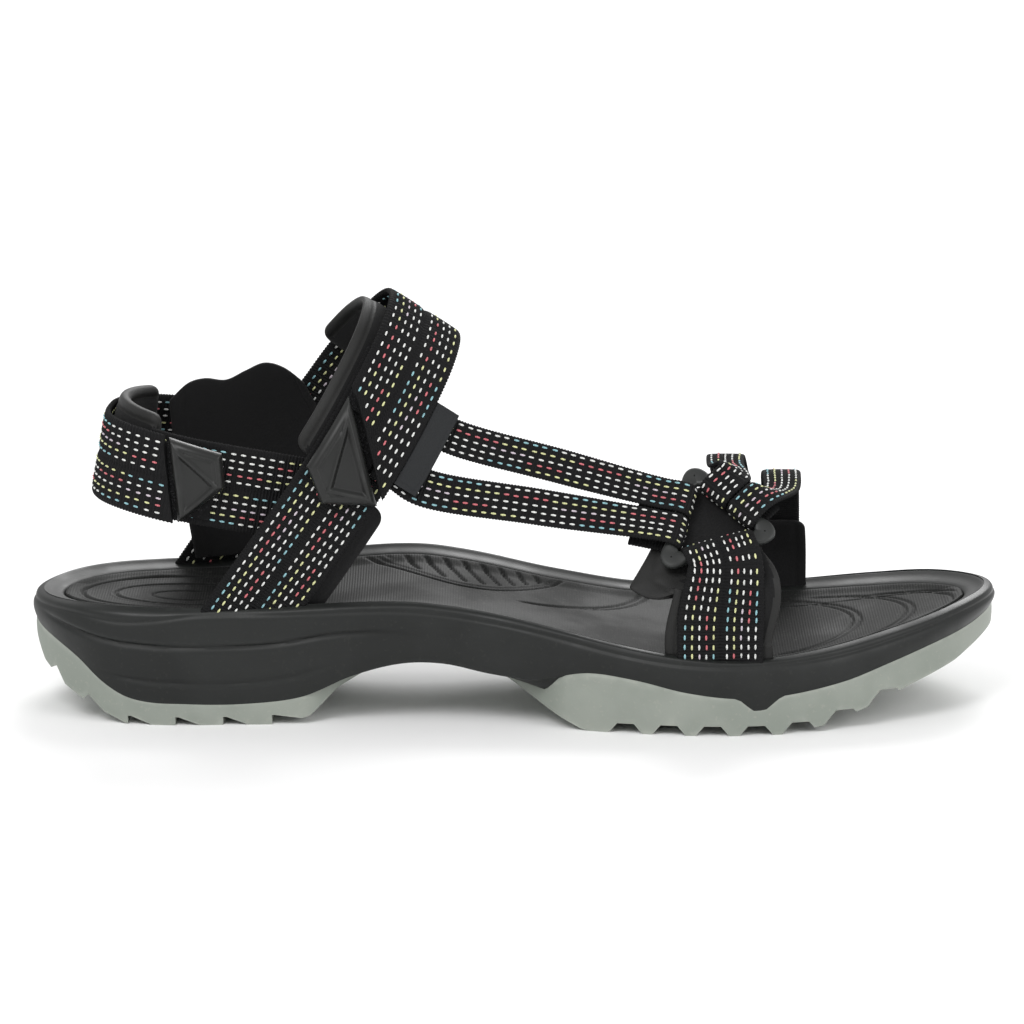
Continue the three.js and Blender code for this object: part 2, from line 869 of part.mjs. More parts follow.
// A round ring pulled into the triangle: the angle round it becomes a place along the path.
const ringGeometry = new THREE.TorusGeometry(10, ringRadius, 8, 42);
{
  const spots = ringGeometry.getAttribute("position");
  for (let i = 0; i < spots.count; i++) {
    const turn = Math.atan2(spots.getY(i), spots.getX(i)) / (2 * Math.PI);
    const at = (turn + 1) % 1;
    const out = Math.hypot(spots.getX(i), spots.getY(i)) - 10;
    const tangent = ringPath.getTangentAt(at);
    const outward = tangent.clone().cross(ringNormal).normalize();
    const spot = ringPath
      .getPointAt(at)
      .addScaledVector(outward, out)
      .addScaledVector(ringNormal, spots.getZ(i));
    spots.setXYZ(i, spot.x, spot.y, spot.z);
  }
}
add("fore_ring", ringGeometry, ringPlastic);

// The end of a strap that comes to a bar from outside, turns round it and runs back inside.
// offset moves it along the bar, tail is the length of the folded end.
function ringLoop(from, to, offset, tail) {
  const bar = to.clone().sub(from).normalize();
  const middle = from.clone().lerp(to, 0.5).addScaledVector(bar, offset);
  const lead = bar.clone().cross(ringNormal).normalize();
  if (lead.dot(middle.clone().sub(ringCentre)) < 0) lead.negate();
  const spot = (out, up) =>
    middle
      .clone()
      .addScaledVector(lead, out * loopOffset)
      .addScaledVector(ringNormal, up * loopOffset);
  const half = Math.SQRT1_2;
  const points = [
    spot(6 / loopOffset, 1),
    spot(0, 1),
    spot(-half, half),
    spot(-1, 0),
    spot(-half, -half),
    spot(0, -1),
    spot(tail / loopOffset, -1),
  ];
  const across = lead.clone().negate().cross(ringNormal).normalize();
  return { points, across: points.map(() => across.clone()) };
}

const pinchBy = (steps, near) => (at) => mix(1, ringPinch, step(near[0] * steps, near[1] * steps, at));
const [topCorner, rearCorner, frontCorner] = corners;

// Connector bands, from the front edge of the lateral strap to the ring's rear bar.
const bandOffset = (bandWidth * ringPinch + ringBandGap) / 2;
const connectorLift = loopLift + bandThickness / 2;
const connectorTuck = [-6.25, 0.25, 8.25]; // measured forward from the strap's front edge
function connector(above, offset, drop) {
  const start = connectorTuck.map((aside) =>
    onRibbon(hoop, hoopAt(above * rise), webbingWidth / 2 + aside, connectorLift),
  );
  const hoopDown = hoop.rows[Math.round(hoopAt(above * rise))].tangent.clone().negate();
  const end = ringLoop(rearCorner, topCorner, offset, 12);
  const middle = start[2].clone().lerp(end.points[0], 0.5);
  middle.y -= drop;
  const between = hoopDown.clone().lerp(end.across[0], 0.5);
  const points = [...start, middle, ...end.points];
  const across = [hoopDown, hoopDown, hoopDown, between, ...end.across];
  return ribbon(points, across, 3 * (points.length - 1), false);
}
const connectors = {
  upper_connector_strap: connector(68, bandOffset, 1),
  lower_connector_strap: connector(53, -bandOffset, 1.5),
};
for (const [name, band] of Object.entries(connectors)) {
  const pinch = pinchBy(band.steps, [0.3, 0.42]);
  add(
    name,
    layer(band, {
      from: 0,
      to: band.steps,
      width: (at) => bandWidth * pinch(at),
      thickness: bandThickness,
      lift: -bandThickness / 2,
    }),
    webbing,
  );
}

// Lateral fore strap, from the sole to the ring's lower bar.
const foreFoot = rimEdge(191, -1, slotWall + bandThickness / 2);
const foreTail = 10 * rise * rise; // kept short where a low ring leaves little room above the lining
const foreLoop = ringLoop(rearCorner, frontCorner, 0, foreTail);
const foreBand = ribbon(
  [
    foreFoot.clone().add(vec(0, 0, -slotDepth)),
    foreFoot,
    foreSpot(191, -45, 32),
    ...foreLoop.points,
  ],
  [vec(1, 0, 0), vec(1, 0, 0), vec(1, 0, 0), ...foreLoop.across],
  27,
  false,
);
const forePinch = (at) => mix(webbingWidth, ringStrapWidth, step(6, 11, at));
add(
  "lateral_fore_strap",
  layer(foreBand, {
    from: 0,
    to: foreBand.steps,
    width: forePinch,
    thickness: bandThickness,
    lift: -bandThickness / 2,
  }),
  webbing,
);
const foreLiningLift = -bandThickness / 2 - clearance - liningThickness;
const foreLining = {
  from: 0,
  to: 7,
  width: webbingWidth + 6,
  thickness: liningThickness,
  lift: foreLiningLift,
};
add("lateral_fore_lining", layer(foreBand, foreLining), lining);

// Toe bands, from the ring's front bar over the toes to the medial sole.
function toeBand(offset, spots, foot) {
  const loop = ringLoop(frontCorner, topCorner, offset, 8);
  const points = [
    ...loop.points.slice().reverse(),
    ...spots,
    foot,
    foot.clone().add(vec(0, 0, -slotDepth)),
  ];
  const turned = loop.across.map((side) => side.clone().negate());
  const across = [...turned, ...points.slice(turned.length).map(() => vec(1, 0, 0))];
  return ribbon(points, across, 3 * (points.length - 1), false);
}
// The rear band's route, and how far in front of its edge the front band runs at each place.
const toeRoute = [
  [193.5, -10, 68.2],
  [194, 6, 67.6],
  [195.5, 24, 61],
  [197.8, 38, 49],
  [199.6, 45, 35],
];
const frontRoute = [
  [4, -8, -5.6],
  [5, -3, -4.4],
  [4, -1, -2.5],
  [2.7, 0, -1.4],
  [1.4, 0, 0],
];
const medialInset = slotWall + bandThickness / 2;
const toeGap = 1.2;
const toeFrontFoot = rimEdge(211.5, 1, medialInset);
const toeRearFoot = toeFrontFoot.clone();
toeRearFoot.x -= bandWidth + toeGap;
toeRearFoot.z = rimTop(toeRearFoot.x / soleLength, 1);
const rearSpots = toeRoute.map((spot) => foreSpot(...spot));
const frontSpots = toeRoute.map(([x, y, z], i) => {
  const [ahead, aside, up] = frontRoute[i];
  return foreSpot(x, y + aside, z + up).add(vec(bandWidth + ahead, 0, 0));
});
const toeBands = {
  toe_band_rear: toeBand(bandOffset, rearSpots, toeRearFoot),
  toe_band_front: toeBand(-bandOffset, frontSpots, toeFrontFoot),
};
for (const [name, band] of Object.entries(toeBands)) {
  add(
    name,
    layer(band, {
      from: 0,
      to: band.steps,
      width: (at) => bandWidth * mix(ringPinch, 1, step(18, 24, at)),
      thickness: bandThickness,
      lift: -bandThickness / 2,
    }),
    webbing,
  );
}
const medialMiddle = toeRearFoot.clone().lerp(toeFrontFoot, 0.5);
const medialLiningBand = ribbon(
  [
    medialMiddle.clone().add(vec(0, 0, -slotDepth)),
    medialMiddle,
    foreSpot(205.5, 44.4, 35),
    foreSpot(204.4, 36.6, 47.4),
    foreSpot(202.6, 24, 57),
  ],
  Array.from({ length: 5 }, () => vec(-1, 0, 0)),
  12,
  false,
);
const medialLining = {
  from: 0,
  to: 8,
  width: 2 * bandWidth + toeGap + 4,
  thickness: liningThickness,
  lift: -bandThickness / 2 - 2 * clearance - liningThickness,
};
add("medial_fore_lining", layer(medialLiningBand, medialLining), lining);

// ---- Midsole, cut for everything that sits in it ------------------------------------------------

// The slot for a layer: the same layer, wider, thicker and longer by the clearance.
function slotFor(band, piece, from, to, floor) {
  const liftAt = constant(piece.lift ?? 0);
  const grown = layer(band, {
    ...piece,
    from,
    to,
    width: (at) => constant(piece.width)(at) + 2 * clearance,
    thickness: piece.thickness + 2 * clearance,
    lift: (at) => liftAt(at) - clearance,
  });
  return trimmed(grown, floor - clearance);
}
const slotTop = hoopAt(22);
const below = 0.3; // stations that a slot runs on past a strap's end
const foreStrapSlot = { width: webbingWidth, thickness: bandThickness, lift: -bandThickness / 2 };
const toeBandSlot = { ...foreStrapSlot, width: bandWidth };
const medialStrapSlot = { width: webbingWidth, thickness: webbingThickness };
const seatSpread = 1 + (2 * clearance) / ballWidth;
const midsoleCuts = [
  outsoleBody(2 * clearance, 2 * clearance).scale(1, seatSpread, 1),
  footbedPocket,
  shockPocket,
  shankPocket,
  slotFor(hoop, lateralStrap, 0, slotTop, lateralFloor),
  slotFor(hoop, lateralLining, 0, slotTop, lateralFloor),
  slotFor(hoop, medialStrapSlot, hoop.steps - slotTop, hoop.steps, medialFloor),
  slotFor(foreBand, foreStrapSlot, -below, 5, 0),
  slotFor(foreBand, foreLining, -below, 5, 0),
  ...Object.values(toeBands).map((band) =>
    slotFor(band, toeBandSlot, band.steps - 5, band.steps + below, 0),
  ),
  slotFor(medialLiningBand, medialLining, -below, 5, 0),
];
add("midsole", cutAll(midsoleBlank, midsoleCuts), midsoleFoam);

// ---- Place the origin under the middle of the box -----------------------------------------------

const box = new THREE.Box3().setFromObject(sandal);
const centre = box.getCenter(new THREE.Vector3());
sandal.position.set(-centre.x, -centre.y, -box.min.z);

export default sandal;
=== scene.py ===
# Looks of the strappy sport sandal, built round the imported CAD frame.
# Shapes are worked out in millimetres in shoe coordinates, as in the CAD source: x runs from the back
# of the heel to the toe, y is negative on the outer (lateral) side, z is up from the ground. in_frame()
# turns them into the frame's metres.
import math

import bmesh
import bpy
import numpy as np
from mathutils import Euler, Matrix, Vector


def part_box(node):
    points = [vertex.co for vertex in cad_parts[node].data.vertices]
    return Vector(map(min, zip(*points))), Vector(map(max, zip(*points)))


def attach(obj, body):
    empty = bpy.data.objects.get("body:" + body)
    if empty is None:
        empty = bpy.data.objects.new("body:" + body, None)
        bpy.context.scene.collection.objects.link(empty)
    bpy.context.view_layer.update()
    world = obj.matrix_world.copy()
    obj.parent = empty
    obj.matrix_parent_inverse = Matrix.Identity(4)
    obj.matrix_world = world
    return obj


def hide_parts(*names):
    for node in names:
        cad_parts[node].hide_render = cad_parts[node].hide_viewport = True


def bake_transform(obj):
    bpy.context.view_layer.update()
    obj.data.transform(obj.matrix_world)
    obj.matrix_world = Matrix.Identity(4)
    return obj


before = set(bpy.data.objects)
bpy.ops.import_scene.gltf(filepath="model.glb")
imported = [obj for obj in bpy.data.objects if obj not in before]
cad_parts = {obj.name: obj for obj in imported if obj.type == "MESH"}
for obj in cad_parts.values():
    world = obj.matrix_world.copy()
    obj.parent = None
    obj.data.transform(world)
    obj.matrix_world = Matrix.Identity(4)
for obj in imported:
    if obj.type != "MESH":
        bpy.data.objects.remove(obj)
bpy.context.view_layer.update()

MM = 0.001

# ---- Sizes shared with the CAD model, in millimetres -----------------------------------------------

SOLE_LENGTH = 270
HEEL_WIDTH = 69
WAIST_WIDTH = 64
BALL_WIDTH = 95
TOE_SHIFT = 6
INSTEP_RISE = 85
INSTEP_LEAN = math.radians(56)
HEEL_LOOP_TILT = math.radians(10.5)
WEBBING_WIDTH = 23.5
BAND_WIDTH = 10.5
WEBBING_THICKNESS = 1.5
BAND_THICKNESS = 1.2
LINING_THICKNESS = 2.2
PAD_THICKNESS = 2.5
COLLAR_THICKNESS = 3
HEEL_PAD_THICKNESS = 4
PATCH_THICKNESS = 0.8
TAB_THICKNESS = 2.5
LABEL_THICKNESS = 0.8
LABEL_WIDTH = 7
CLEARANCE = 0.35
RIM_WIDTH = 9
SLOT_WALL = 2.6
SLOT_DEPTH = 7
FOOTBED_THICKNESS = 4
FOOTBED_DROP = 2.5
HEEL_DISH = 3
WEB_THICKNESS = 2
TREAD_THICKNESS = 5
FORE_LUG_DEPTH = 2.7
RING_RADIUS = 1.5
RING_PINCH = 0.92
RING_BAND_GAP = 0.6

# The shank lies on the shoe's axis, from 74 to 148 mm, so it tells where the heel's back is.
shank_low, shank_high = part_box("shank")
SHANK_MIDDLE = 111
HEEL_BACK = (shank_low + shank_high) / 2 - Vector((SHANK_MIDDLE * MM, 0, 0))
SHOE_ORIGIN = np.array((HEEL_BACK.x, HEEL_BACK.y, 0))


def in_frame(spots):
    """Shoe coordinates in millimetres, as rows, turned into the frame's metres."""
    return np.asarray(spots, float) * MM + SHOE_ORIGIN


def in_shoe(spot):
    """A place in the frame's metres turned back into shoe coordinates."""
    return (np.array(spot) - SHOE_ORIGIN) / MM


def smooth(start, end, x):
    """0 before start, 1 after end, and an even S between them."""
    t = np.clip((np.asarray(x, float) - start) / (end - start), 0, 1)
    return t * t * (3 - 2 * t)


def mix(a, b, t):
    return a + (b - a) * t


def rows(x, y, z):
    return np.stack(np.broadcast_arrays(x, y, z), axis=1)


def unit(vectors):
    return vectors / np.linalg.norm(vectors, axis=-1, keepdims=True)


def ridge(distance, half_width):
    """A smooth bump: 1 where distance is 0, and nearly gone two half widths away."""
    return np.exp(-((distance / half_width) ** 2))


def squared(wave, power):
    """A sine or cosine drawn towards -1 and 1, which makes a circle's section squarer."""
    return np.sign(wave) * abs(wave) ** power


def rounding_off(distance, radius, least=0.0):
    """The height of a rounded edge, from least at the edge to 1 at radius inside it."""
    return np.sqrt(np.clip(1 - (1 - np.clip(distance / radius, 0, 1)) ** 2, least, 1))


def profile(pairs):
    """A smooth curve through [position, value] pairs."""
    at, value = np.array(pairs, float).T
    last = len(at) - 1

    def evaluate(x):
        x = np.clip(x, at[0], at[-1])
        i = np.clip(np.searchsorted(at, x, side="right"), 1, last)
        start, end = at[i - 1], at[i]
        before = np.where(i > 1, at[np.maximum(i - 2, 0)], end)
        after = np.where(i < last, at[np.minimum(i + 1, last)], start)
        value_before = np.where(i > 1, value[np.maximum(i - 2, 0)], value[i])
        value_after = np.where(i < last, value[np.minimum(i + 1, last)], value[i - 1])
        half = (end - start) / 2
        lead, trail = half / (start - before), half / (after - end)
        p = (x - start) / (end - start)
        return (
            value_before * (-lead * p**3 + 2 * lead * p**2 - lead * p)
            + value[i - 1] * ((1 + lead) * p**3 - (1.5 + 2 * lead) * p**2 + (lead - 0.5) * p + 1)
            + value[i] * (-(1 + trail) * p**3 + (1.5 + trail) * p**2 + 0.5 * p)
            + value_after * (trail * p**3 - trail * p**2)
        )

    return evaluate


def broken_line(pairs):
    """Straight lines through [position, value] pairs."""
    at, value = np.array(pairs, float).T
    return lambda x: np.interp(x, at, value)


# ---- The sole's shape ------------------------------------------------------------------------------

# [share of the length, lateral half width, medial half width]
OUTLINE = [
    (0.012, 0.2 * HEEL_WIDTH, 0.2 * HEEL_WIDTH),
    (0.04, 0.35 * HEEL_WIDTH, 0.345 * HEEL_WIDTH),
    (0.13, 0.5 * HEEL_WIDTH, 0.495 * HEEL_WIDTH),
    (0.22, 0.495 * HEEL_WIDTH, 0.485 * HEEL_WIDTH),
    (0.43, 0.515 * WAIST_WIDTH, 0.485 * WAIST_WIDTH),
    (0.52, 0.39 * BALL_WIDTH, 0.36 * BALL_WIDTH),
    (0.61, 0.458 * BALL_WIDTH, 0.43 * BALL_WIDTH),
    (0.69, 0.495 * BALL_WIDTH, 0.49 * BALL_WIDTH),
    (0.74, 0.495 * BALL_WIDTH, 0.505 * BALL_WIDTH),
    (0.815, 0.463 * BALL_WIDTH, 0.49 * BALL_WIDTH),
    (0.89, 0.39 * BALL_WIDTH, 0.415 * BALL_WIDTH),
    (0.945, 0.295 * BALL_WIDTH, 0.305 * BALL_WIDTH),
    (0.985, 0.152 * BALL_WIDTH, 0.155 * BALL_WIDTH),
]


def roundness(s):
    return np.sqrt(np.maximum(0, 1 - (2 * s - 1) ** 2))


lateral_reach = profile([(s, lateral / roundness(s)) for s, lateral, _ in OUTLINE])
medial_reach = profile([(s, medial / roundness(s)) for s, _, medial in OUTLINE])


def reach(s, side):
    return np.where(np.asarray(side) < 0, lateral_reach(s), medial_reach(s))


def axis_shift(s):
    return TOE_SHIFT * smooth(0.7, 1, s)


def by_share(pairs):
    return [(x / SOLE_LENGTH, z) for x, z in pairs]


underside = broken_line(by_share([
    (0, 22), (4, 14), (10, 9), (17, 5), (28, 0), (76, 0), (86, 9), (98, 14), (113, 15), (133, 10.7),
    (144, 5), (154, 0), (209, 0), (221, 2), (232, 5.8), (244, 10.5), (257, 15), (270, 22),
]))
plain_rand = profile(by_share([
    (0, 24.5), (8, 21), (14, 17.5), (21, 11.5), (28, 7.6), (45, 6), (62, 6), (77, 8), (90, 13.5),
    (104, 17), (115, 17), (128, 14.5), (140, 13.5), (155, 16.3), (168, 15), (182, 12), (200, 10.4),
    (225, 13.6), (238, 17.4), (250, 21), (262, 24.2), (270, 27.2),
]))
lateral_rim = profile(by_share([
    (0, 31.5), (12, 32.5), (60, 32.5), (104, 34), (116, 33), (131, 30.8), (147, 27.7), (162, 24.8),
    (180, 22), (200, 20.8), (219, 22.4), (240, 26.2), (258, 30), (270, 32),
]))
medial_rim = profile(by_share([
    (0, 31.5), (12, 32.5), (45, 33.2), (78, 36), (107, 38), (122, 36), (147, 29.6), (168, 24.8),
    (188, 23), (205, 23), (219, 24), (240, 27), (258, 30.2), (270, 32),
]))
# The foam dips into the rubber in a blunt notch beside the ball of the foot.
notch = broken_line(by_share([(196, 0), (200, 3.4), (203.5, 3.4), (208, 0)]))


def rim_top(s, side):
    return mix(lateral_rim(s), medial_rim(s), (np.asarray(side) + 1) / 2)


def rand_line(s):
    return plain_rand(s) - notch(s)


def arch_share(s):
    rear = smooth(76 / SOLE_LENGTH, 98 / SOLE_LENGTH, s)
    return rear * (1 - smooth(128 / SOLE_LENGTH, 150 / SOLE_LENGTH, s))


def joint_height(s, ring):
    """Where foam and rubber meet; ring is 0 in the middle of the plan and 1 at its edge."""
    core = underside(s) + mix(TREAD_THICKNESS, WEB_THICKNESS, arch_share(s))
    rand = rand_line(s)
    return mix(np.minimum(core, rand), rand, smooth(0.78, 1, ring))


def plan(p, q, inset):
    """A spot on the sole's plan: p runs from heel to toe, q from lateral to medial, both -1 to 1."""
    s = (1 + p) / 2
    x = SOLE_LENGTH / 2 + p * (SOLE_LENGTH / 2 - inset)
    y = axis_shift(s) + q * (reach(s, q) - inset / np.maximum(0.6, roundness(s)))
    return x, y, np.clip(x / SOLE_LENGTH, 0, 1)


def rim_edge(x, side, inset):
    s = x / SOLE_LENGTH
    y = axis_shift(s) + side * (reach(s, side) * roundness(s) - inset)
    return np.array((x, float(y), float(rim_top(s, side))))


def footbed_top(p, q, s):
    dish = HEEL_DISH * (1 - smooth(70 / SOLE_LENGTH, 110 / SOLE_LENGTH, s)) + 1
    return rim_top(s, q) - FOOTBED_DROP - dish * (1 - p * p - q * q) * roundness(s)


# ---- Ribbons: the lines that straps, pads and tapes follow -------------------------------------------


def catmull_rom(points, t):
    """Centripetal Catmull-Rom spline through points, at t from 0 to 1."""
    points = np.asarray(points, float)
    wide = np.vstack((2 * points[0] - points[1], points, 2 * points[-1] - points[-2]))
    place = t * (len(points) - 1)
    i = np.minimum(place.astype(int), len(points) - 2)
    w = (place - i)[:, None]
    a, b, c, d = wide[i], wide[i + 1], wide[i + 2], wide[i + 3]

    def knot(start, end):
        return (((start - end) ** 2).sum(1) ** 0.25)[:, None]

    middle = knot(b, c)
    middle = np.where(middle < 1e-4, 1, middle)
    first = np.where(knot(a, b) < 1e-4, middle, knot(a, b))
    last = np.where(knot(c, d) < 1e-4, middle, knot(c, d))
    leave = ((b - a) / first - (c - a) / (first + middle) + (c - b) / middle) * middle
    arrive = ((c - b) / middle - (d - b) / (middle + last) + (d - c) / last) * middle
    return b + leave * w + (3 * (c - b) - 2 * leave - arrive) * w**2 + (2 * (b - c) + leave + arrive) * w**3


class Ribbon:
    """A strap's line: at each place its middle, its width direction and its outward direction."""

    SAMPLES = 1200

    def __init__(self, points, across, steps, even=True):
        t = np.linspace(0, 1, self.SAMPLES)
        middle = catmull_rom(points, t)
        if even:
            run = self.run_along(middle)
            t = np.interp(np.linspace(0, run[-1], self.SAMPLES), run, t)
            middle = catmull_rom(points, t)
        tangent = unit(np.gradient(middle, axis=0))
        face = unit(np.cross(catmull_rom(across, t), tangent))
        side = unit(np.cross(tangent, face))
        self.table = np.hstack((middle, side, face, tangent))
        self.run = self.run_along(middle)
        self.length = self.run[-1]
        self.steps = steps

    @staticmethod
    def run_along(middle):
        return np.concatenate(([0], np.cumsum(np.linalg.norm(np.diff(middle, axis=0), axis=1))))

    def mm(self, station):
        """Millimetres along the ribbon at one of the CAD model's stations."""
        return float(np.interp(station / self.steps, np.linspace(0, 1, self.SAMPLES), self.run))

    def read(self, along):
        """Middle, side, face and tangent at a run in millimetres; it runs on straight past its ends."""
        along = np.atleast_1d(np.asarray(along, float))
        picked = np.stack([np.interp(along, self.run, column) for column in self.table.T], axis=1)
        middle, side, face, tangent = picked[:, :3], picked[:, 3:6], picked[:, 6:9], picked[:, 9:]
        past = along - np.clip(along, 0, self.length)
        return middle + tangent * past[:, None], side, face, tangent

    def at(self, along, aside, lift):
        middle, side, face, _ = self.read(along)
        return middle + side * np.reshape(aside, (-1, 1)) + face * np.reshape(lift, (-1, 1))

    def spot(self, along, aside, lift):
        return self.at(along, aside, lift)[0]


# Instep hoop: over the foot from the lateral sole to the medial sole.
instep_up = np.array((math.cos(INSTEP_LEAN), 0, math.sin(INSTEP_LEAN)))
LATERAL_STACK = LINING_THICKNESS + CLEARANCE + WEBBING_THICKNESS
# Where along the sole the instep hoop enters it on either side.
LATERAL_AT, MEDIAL_AT = 62.5, 53.5
lateral_foot = rim_edge(LATERAL_AT, -1, SLOT_WALL + LATERAL_STACK)
medial_foot = rim_edge(MEDIAL_AT, 1, SLOT_WALL + WEBBING_THICKNESS)
STRAP_SPREAD = 6
HOOP_ROOT = SLOT_DEPTH + (WEBBING_WIDTH / 2 + STRAP_SPREAD) / math.tan(INSTEP_LEAN)
ARCH = [
    (0, -HOOP_ROOT), (0, 0), (-0.028, 20), (-0.028, 40), (0.02, 55), (0.14, 69), (0.3, 80),
    (0.5, INSTEP_RISE), (0.7, 80), (0.86, 67), (0.965, 50), (1.005, 25), (1, 0), (1, -HOOP_ROOT),
]
level_across = unit((medial_foot - lateral_foot) * (1, 1, 0))
instep_across = np.cross(level_across, instep_up)
hoop = Ribbon(
    [lateral_foot + (medial_foot - lateral_foot) * share + instep_up * height for share, height in ARCH],
    [instep_across] * len(ARCH),
    steps=46,
)
HOOP_END = hoop.length - 2 * HOOP_ROOT

STRAP_LIFT = PAD_THICKNESS + CLEARANCE
LOOP_LIFT = STRAP_LIFT + WEBBING_THICKNESS + CLEARANCE
HOOK_LIFT = LOOP_LIFT + PATCH_THICKNESS + CLEARANCE
FLAP_LIFT = HOOK_LIFT + PATCH_THICKNESS + CLEARANCE
PAD_START, PAD_END = 44, HOOP_END - 70
BASE_END = 78
HINGE_AT = 86

# Heel loop: from inside the lateral strap round the heel to the medial side.
HEEL_ROUTE = [
    (80, -27), (68, -27), (56, -27.6), (42, -27.2), (31, -21.5), (24, -12), (21.5, 0), (24, 12),
    (31, 22), (41, 28.2), (52, 31.2), (62, 31.6),
]
HEEL_BEND_X = 21.5
LOOP_HEIGHT = 72.3
heel_up = np.array((math.sin(HEEL_LOOP_TILT), 0, math.cos(HEEL_LOOP_TILT)))
heel_points = [
    np.array((x, y, LOOP_HEIGHT - (x - HEEL_BEND_X) * math.tan(HEEL_LOOP_TILT))) for x, y in HEEL_ROUTE
]
# Its front end lies against the inner face of the instep hoop, which turns inwards as it rises.
hoop_inner = profile([(height, mix(lateral_foot[1], medial_foot[1], share)) for share, height in ARCH[:8]])
for point in heel_points[:2]:
    edge = point + heel_up * WEBBING_WIDTH / 2 - lateral_foot
    point[1] = hoop_inner(edge.dot(instep_up)) + 2 * CLEARANCE + WEBBING_THICKNESS
heel_loop = Ribbon(heel_points, [heel_up] * len(heel_points), steps=34)
HEEL_LOOP_LIFT = WEBBING_THICKNESS + CLEARANCE
HEEL_HOOK_LIFT = HEEL_LOOP_LIFT + PATCH_THICKNESS + CLEARANCE
HEEL_FLAP_LIFT = HEEL_HOOK_LIFT + PATCH_THICKNESS + CLEARANCE
HEEL_HINGE = 52

# Triangular ring. Its place and tilt are those of the CAD model.
loop_offset = RING_RADIUS + CLEARANCE + BAND_THICKNESS / 2
ring_strap_width = 2 * BAND_WIDTH * RING_PINCH + RING_BAND_GAP
ring_side = ring_strap_width + 2 * (math.sqrt(3) * (loop_offset + BAND_THICKNESS / 2) + CLEARANCE)
ring_centre = np.array((188.4, -33.5, 57))
ring_normal = unit(np.array((-0.079, -0.724, 0.685)))
ring_top = np.array((-0.263, 0.677, 0.689))
ring_top = unit(ring_top - ring_normal * ring_top.dot(ring_normal))
ring_across = np.cross(ring_normal, ring_top)
top_corner, rear_corner, front_corner = (
    ring_centre
    + (ring_top * math.cos(turn) + ring_across * math.sin(turn)) * ring_side / math.sqrt(3)
    for turn in (0, math.tau / 3, 2 * math.tau / 3)
)


LEAD_IN = 6


def ring_loop(start, end, offset, tail):
    """A strap's end that comes to a bar from outside, turns round it and runs back inside."""
    bar = unit(end - start)
    middle = (start + end) / 2 + bar * offset
    lead = unit(np.cross(bar, ring_normal))
    if lead.dot(middle - ring_centre) < 0:
        lead = -lead
    half = math.sqrt(0.5)
    turns = [
        (LEAD_IN / loop_offset, 1), (0, 1), (-half, half), (-1, 0), (-half, -half), (0, -1),
        (tail / loop_offset, -1),
    ]
    points = [middle + (lead * out + ring_normal * up) * loop_offset for out, up in turns]
    across = unit(np.cross(-lead, ring_normal))
    return points, [across] * len(points)


BAND_OFFSET = (BAND_WIDTH * RING_PINCH + RING_BAND_GAP) / 2
CONNECTOR_LIFT = LOOP_LIFT + BAND_THICKNESS / 2


def connector(above, offset, drop):
    """The line of a connector band, from under the flap to the ring's rear bar."""
    along = HOOP_ROOT + above
    start = [hoop.spot(along, aside, CONNECTOR_LIFT) for aside in (5.5, 12, 20)]
    down = -hoop.read(along)[3][0]
    points, across = ring_loop(rear_corner, top_corner, offset, 12)
    middle = (start[2] + points[0]) / 2 - np.array((0, drop, 0))
    between = (down + across[0]) / 2
    line = start + [middle] + points
    return Ribbon(line, [down] * 3 + [between] + across, 3 * (len(line) - 1), even=False)


upper_connector = connector(68, BAND_OFFSET, 1)
lower_connector = connector(53, -BAND_OFFSET, 1.5)

ring_across_x = ring_across if ring_across[0] > 0 else -ring_across
FORE_AT, TOE_AT = 191, 211.5
fore_foot = rim_edge(FORE_AT, -1, SLOT_WALL + BAND_THICKNESS / 2)
fore_points, fore_across = ring_loop(rear_corner, front_corner, 0, 10)
ALONG_X = np.array((1.0, 0, 0))
STRAIGHT_DOWN = np.array((0, 0, -SLOT_DEPTH))
fore_band = Ribbon(
    [fore_foot + STRAIGHT_DOWN, fore_foot, np.array((FORE_AT, -45, 32))] + fore_points,
    [ALONG_X] * 3 + fore_across,
    steps=27,
    even=False,
)

# The fore lining's outer face: up inside the strap, then on behind the ring and its straps' tails.
behind_ring = ring_normal * (loop_offset + BAND_THICKNESS / 2 + CLEARANCE)
bar_middle = (rear_corner + front_corner) / 2
fore_lining_band = Ribbon(
    [fore_band.spot(along, 0, -BAND_THICKNESS / 2 - CLEARANCE) for along in (0, 7, fore_band.mm(4.5))]
    + [
        bar_middle - ring_top * 11 - behind_ring * 0.95, bar_middle - ring_top * 2 - behind_ring,
        ring_centre - behind_ring, ring_centre + ring_top * 14.5 - behind_ring,
    ],
    [ALONG_X] * 3 + [(ALONG_X + ring_across_x) / 2] + [ring_across_x] * 3,
    steps=6,
    even=False,
)

MEDIAL_INSET = SLOT_WALL + BAND_THICKNESS / 2
TOE_GAP = 1.2
toe_front_foot = rim_edge(TOE_AT, 1, MEDIAL_INSET)
toe_rear_foot = toe_front_foot - np.array((BAND_WIDTH + TOE_GAP, 0, 0))
toe_rear_foot[2] = rim_top(toe_rear_foot[0] / SOLE_LENGTH, 1)


def toe_band(offset, spots, foot):
    """The line of a toe band, from the ring's front bar over the toes to the medial sole."""
    points, across = ring_loop(front_corner, top_corner, offset, 8)
    line = points[::-1] + [np.array(spot, float) for spot in spots] + [foot, foot + STRAIGHT_DOWN]
    turned = [-side for side in across]
    return Ribbon(line, turned + [ALONG_X] * (len(line) - len(turned)), 3 * (len(line) - 1), even=False)


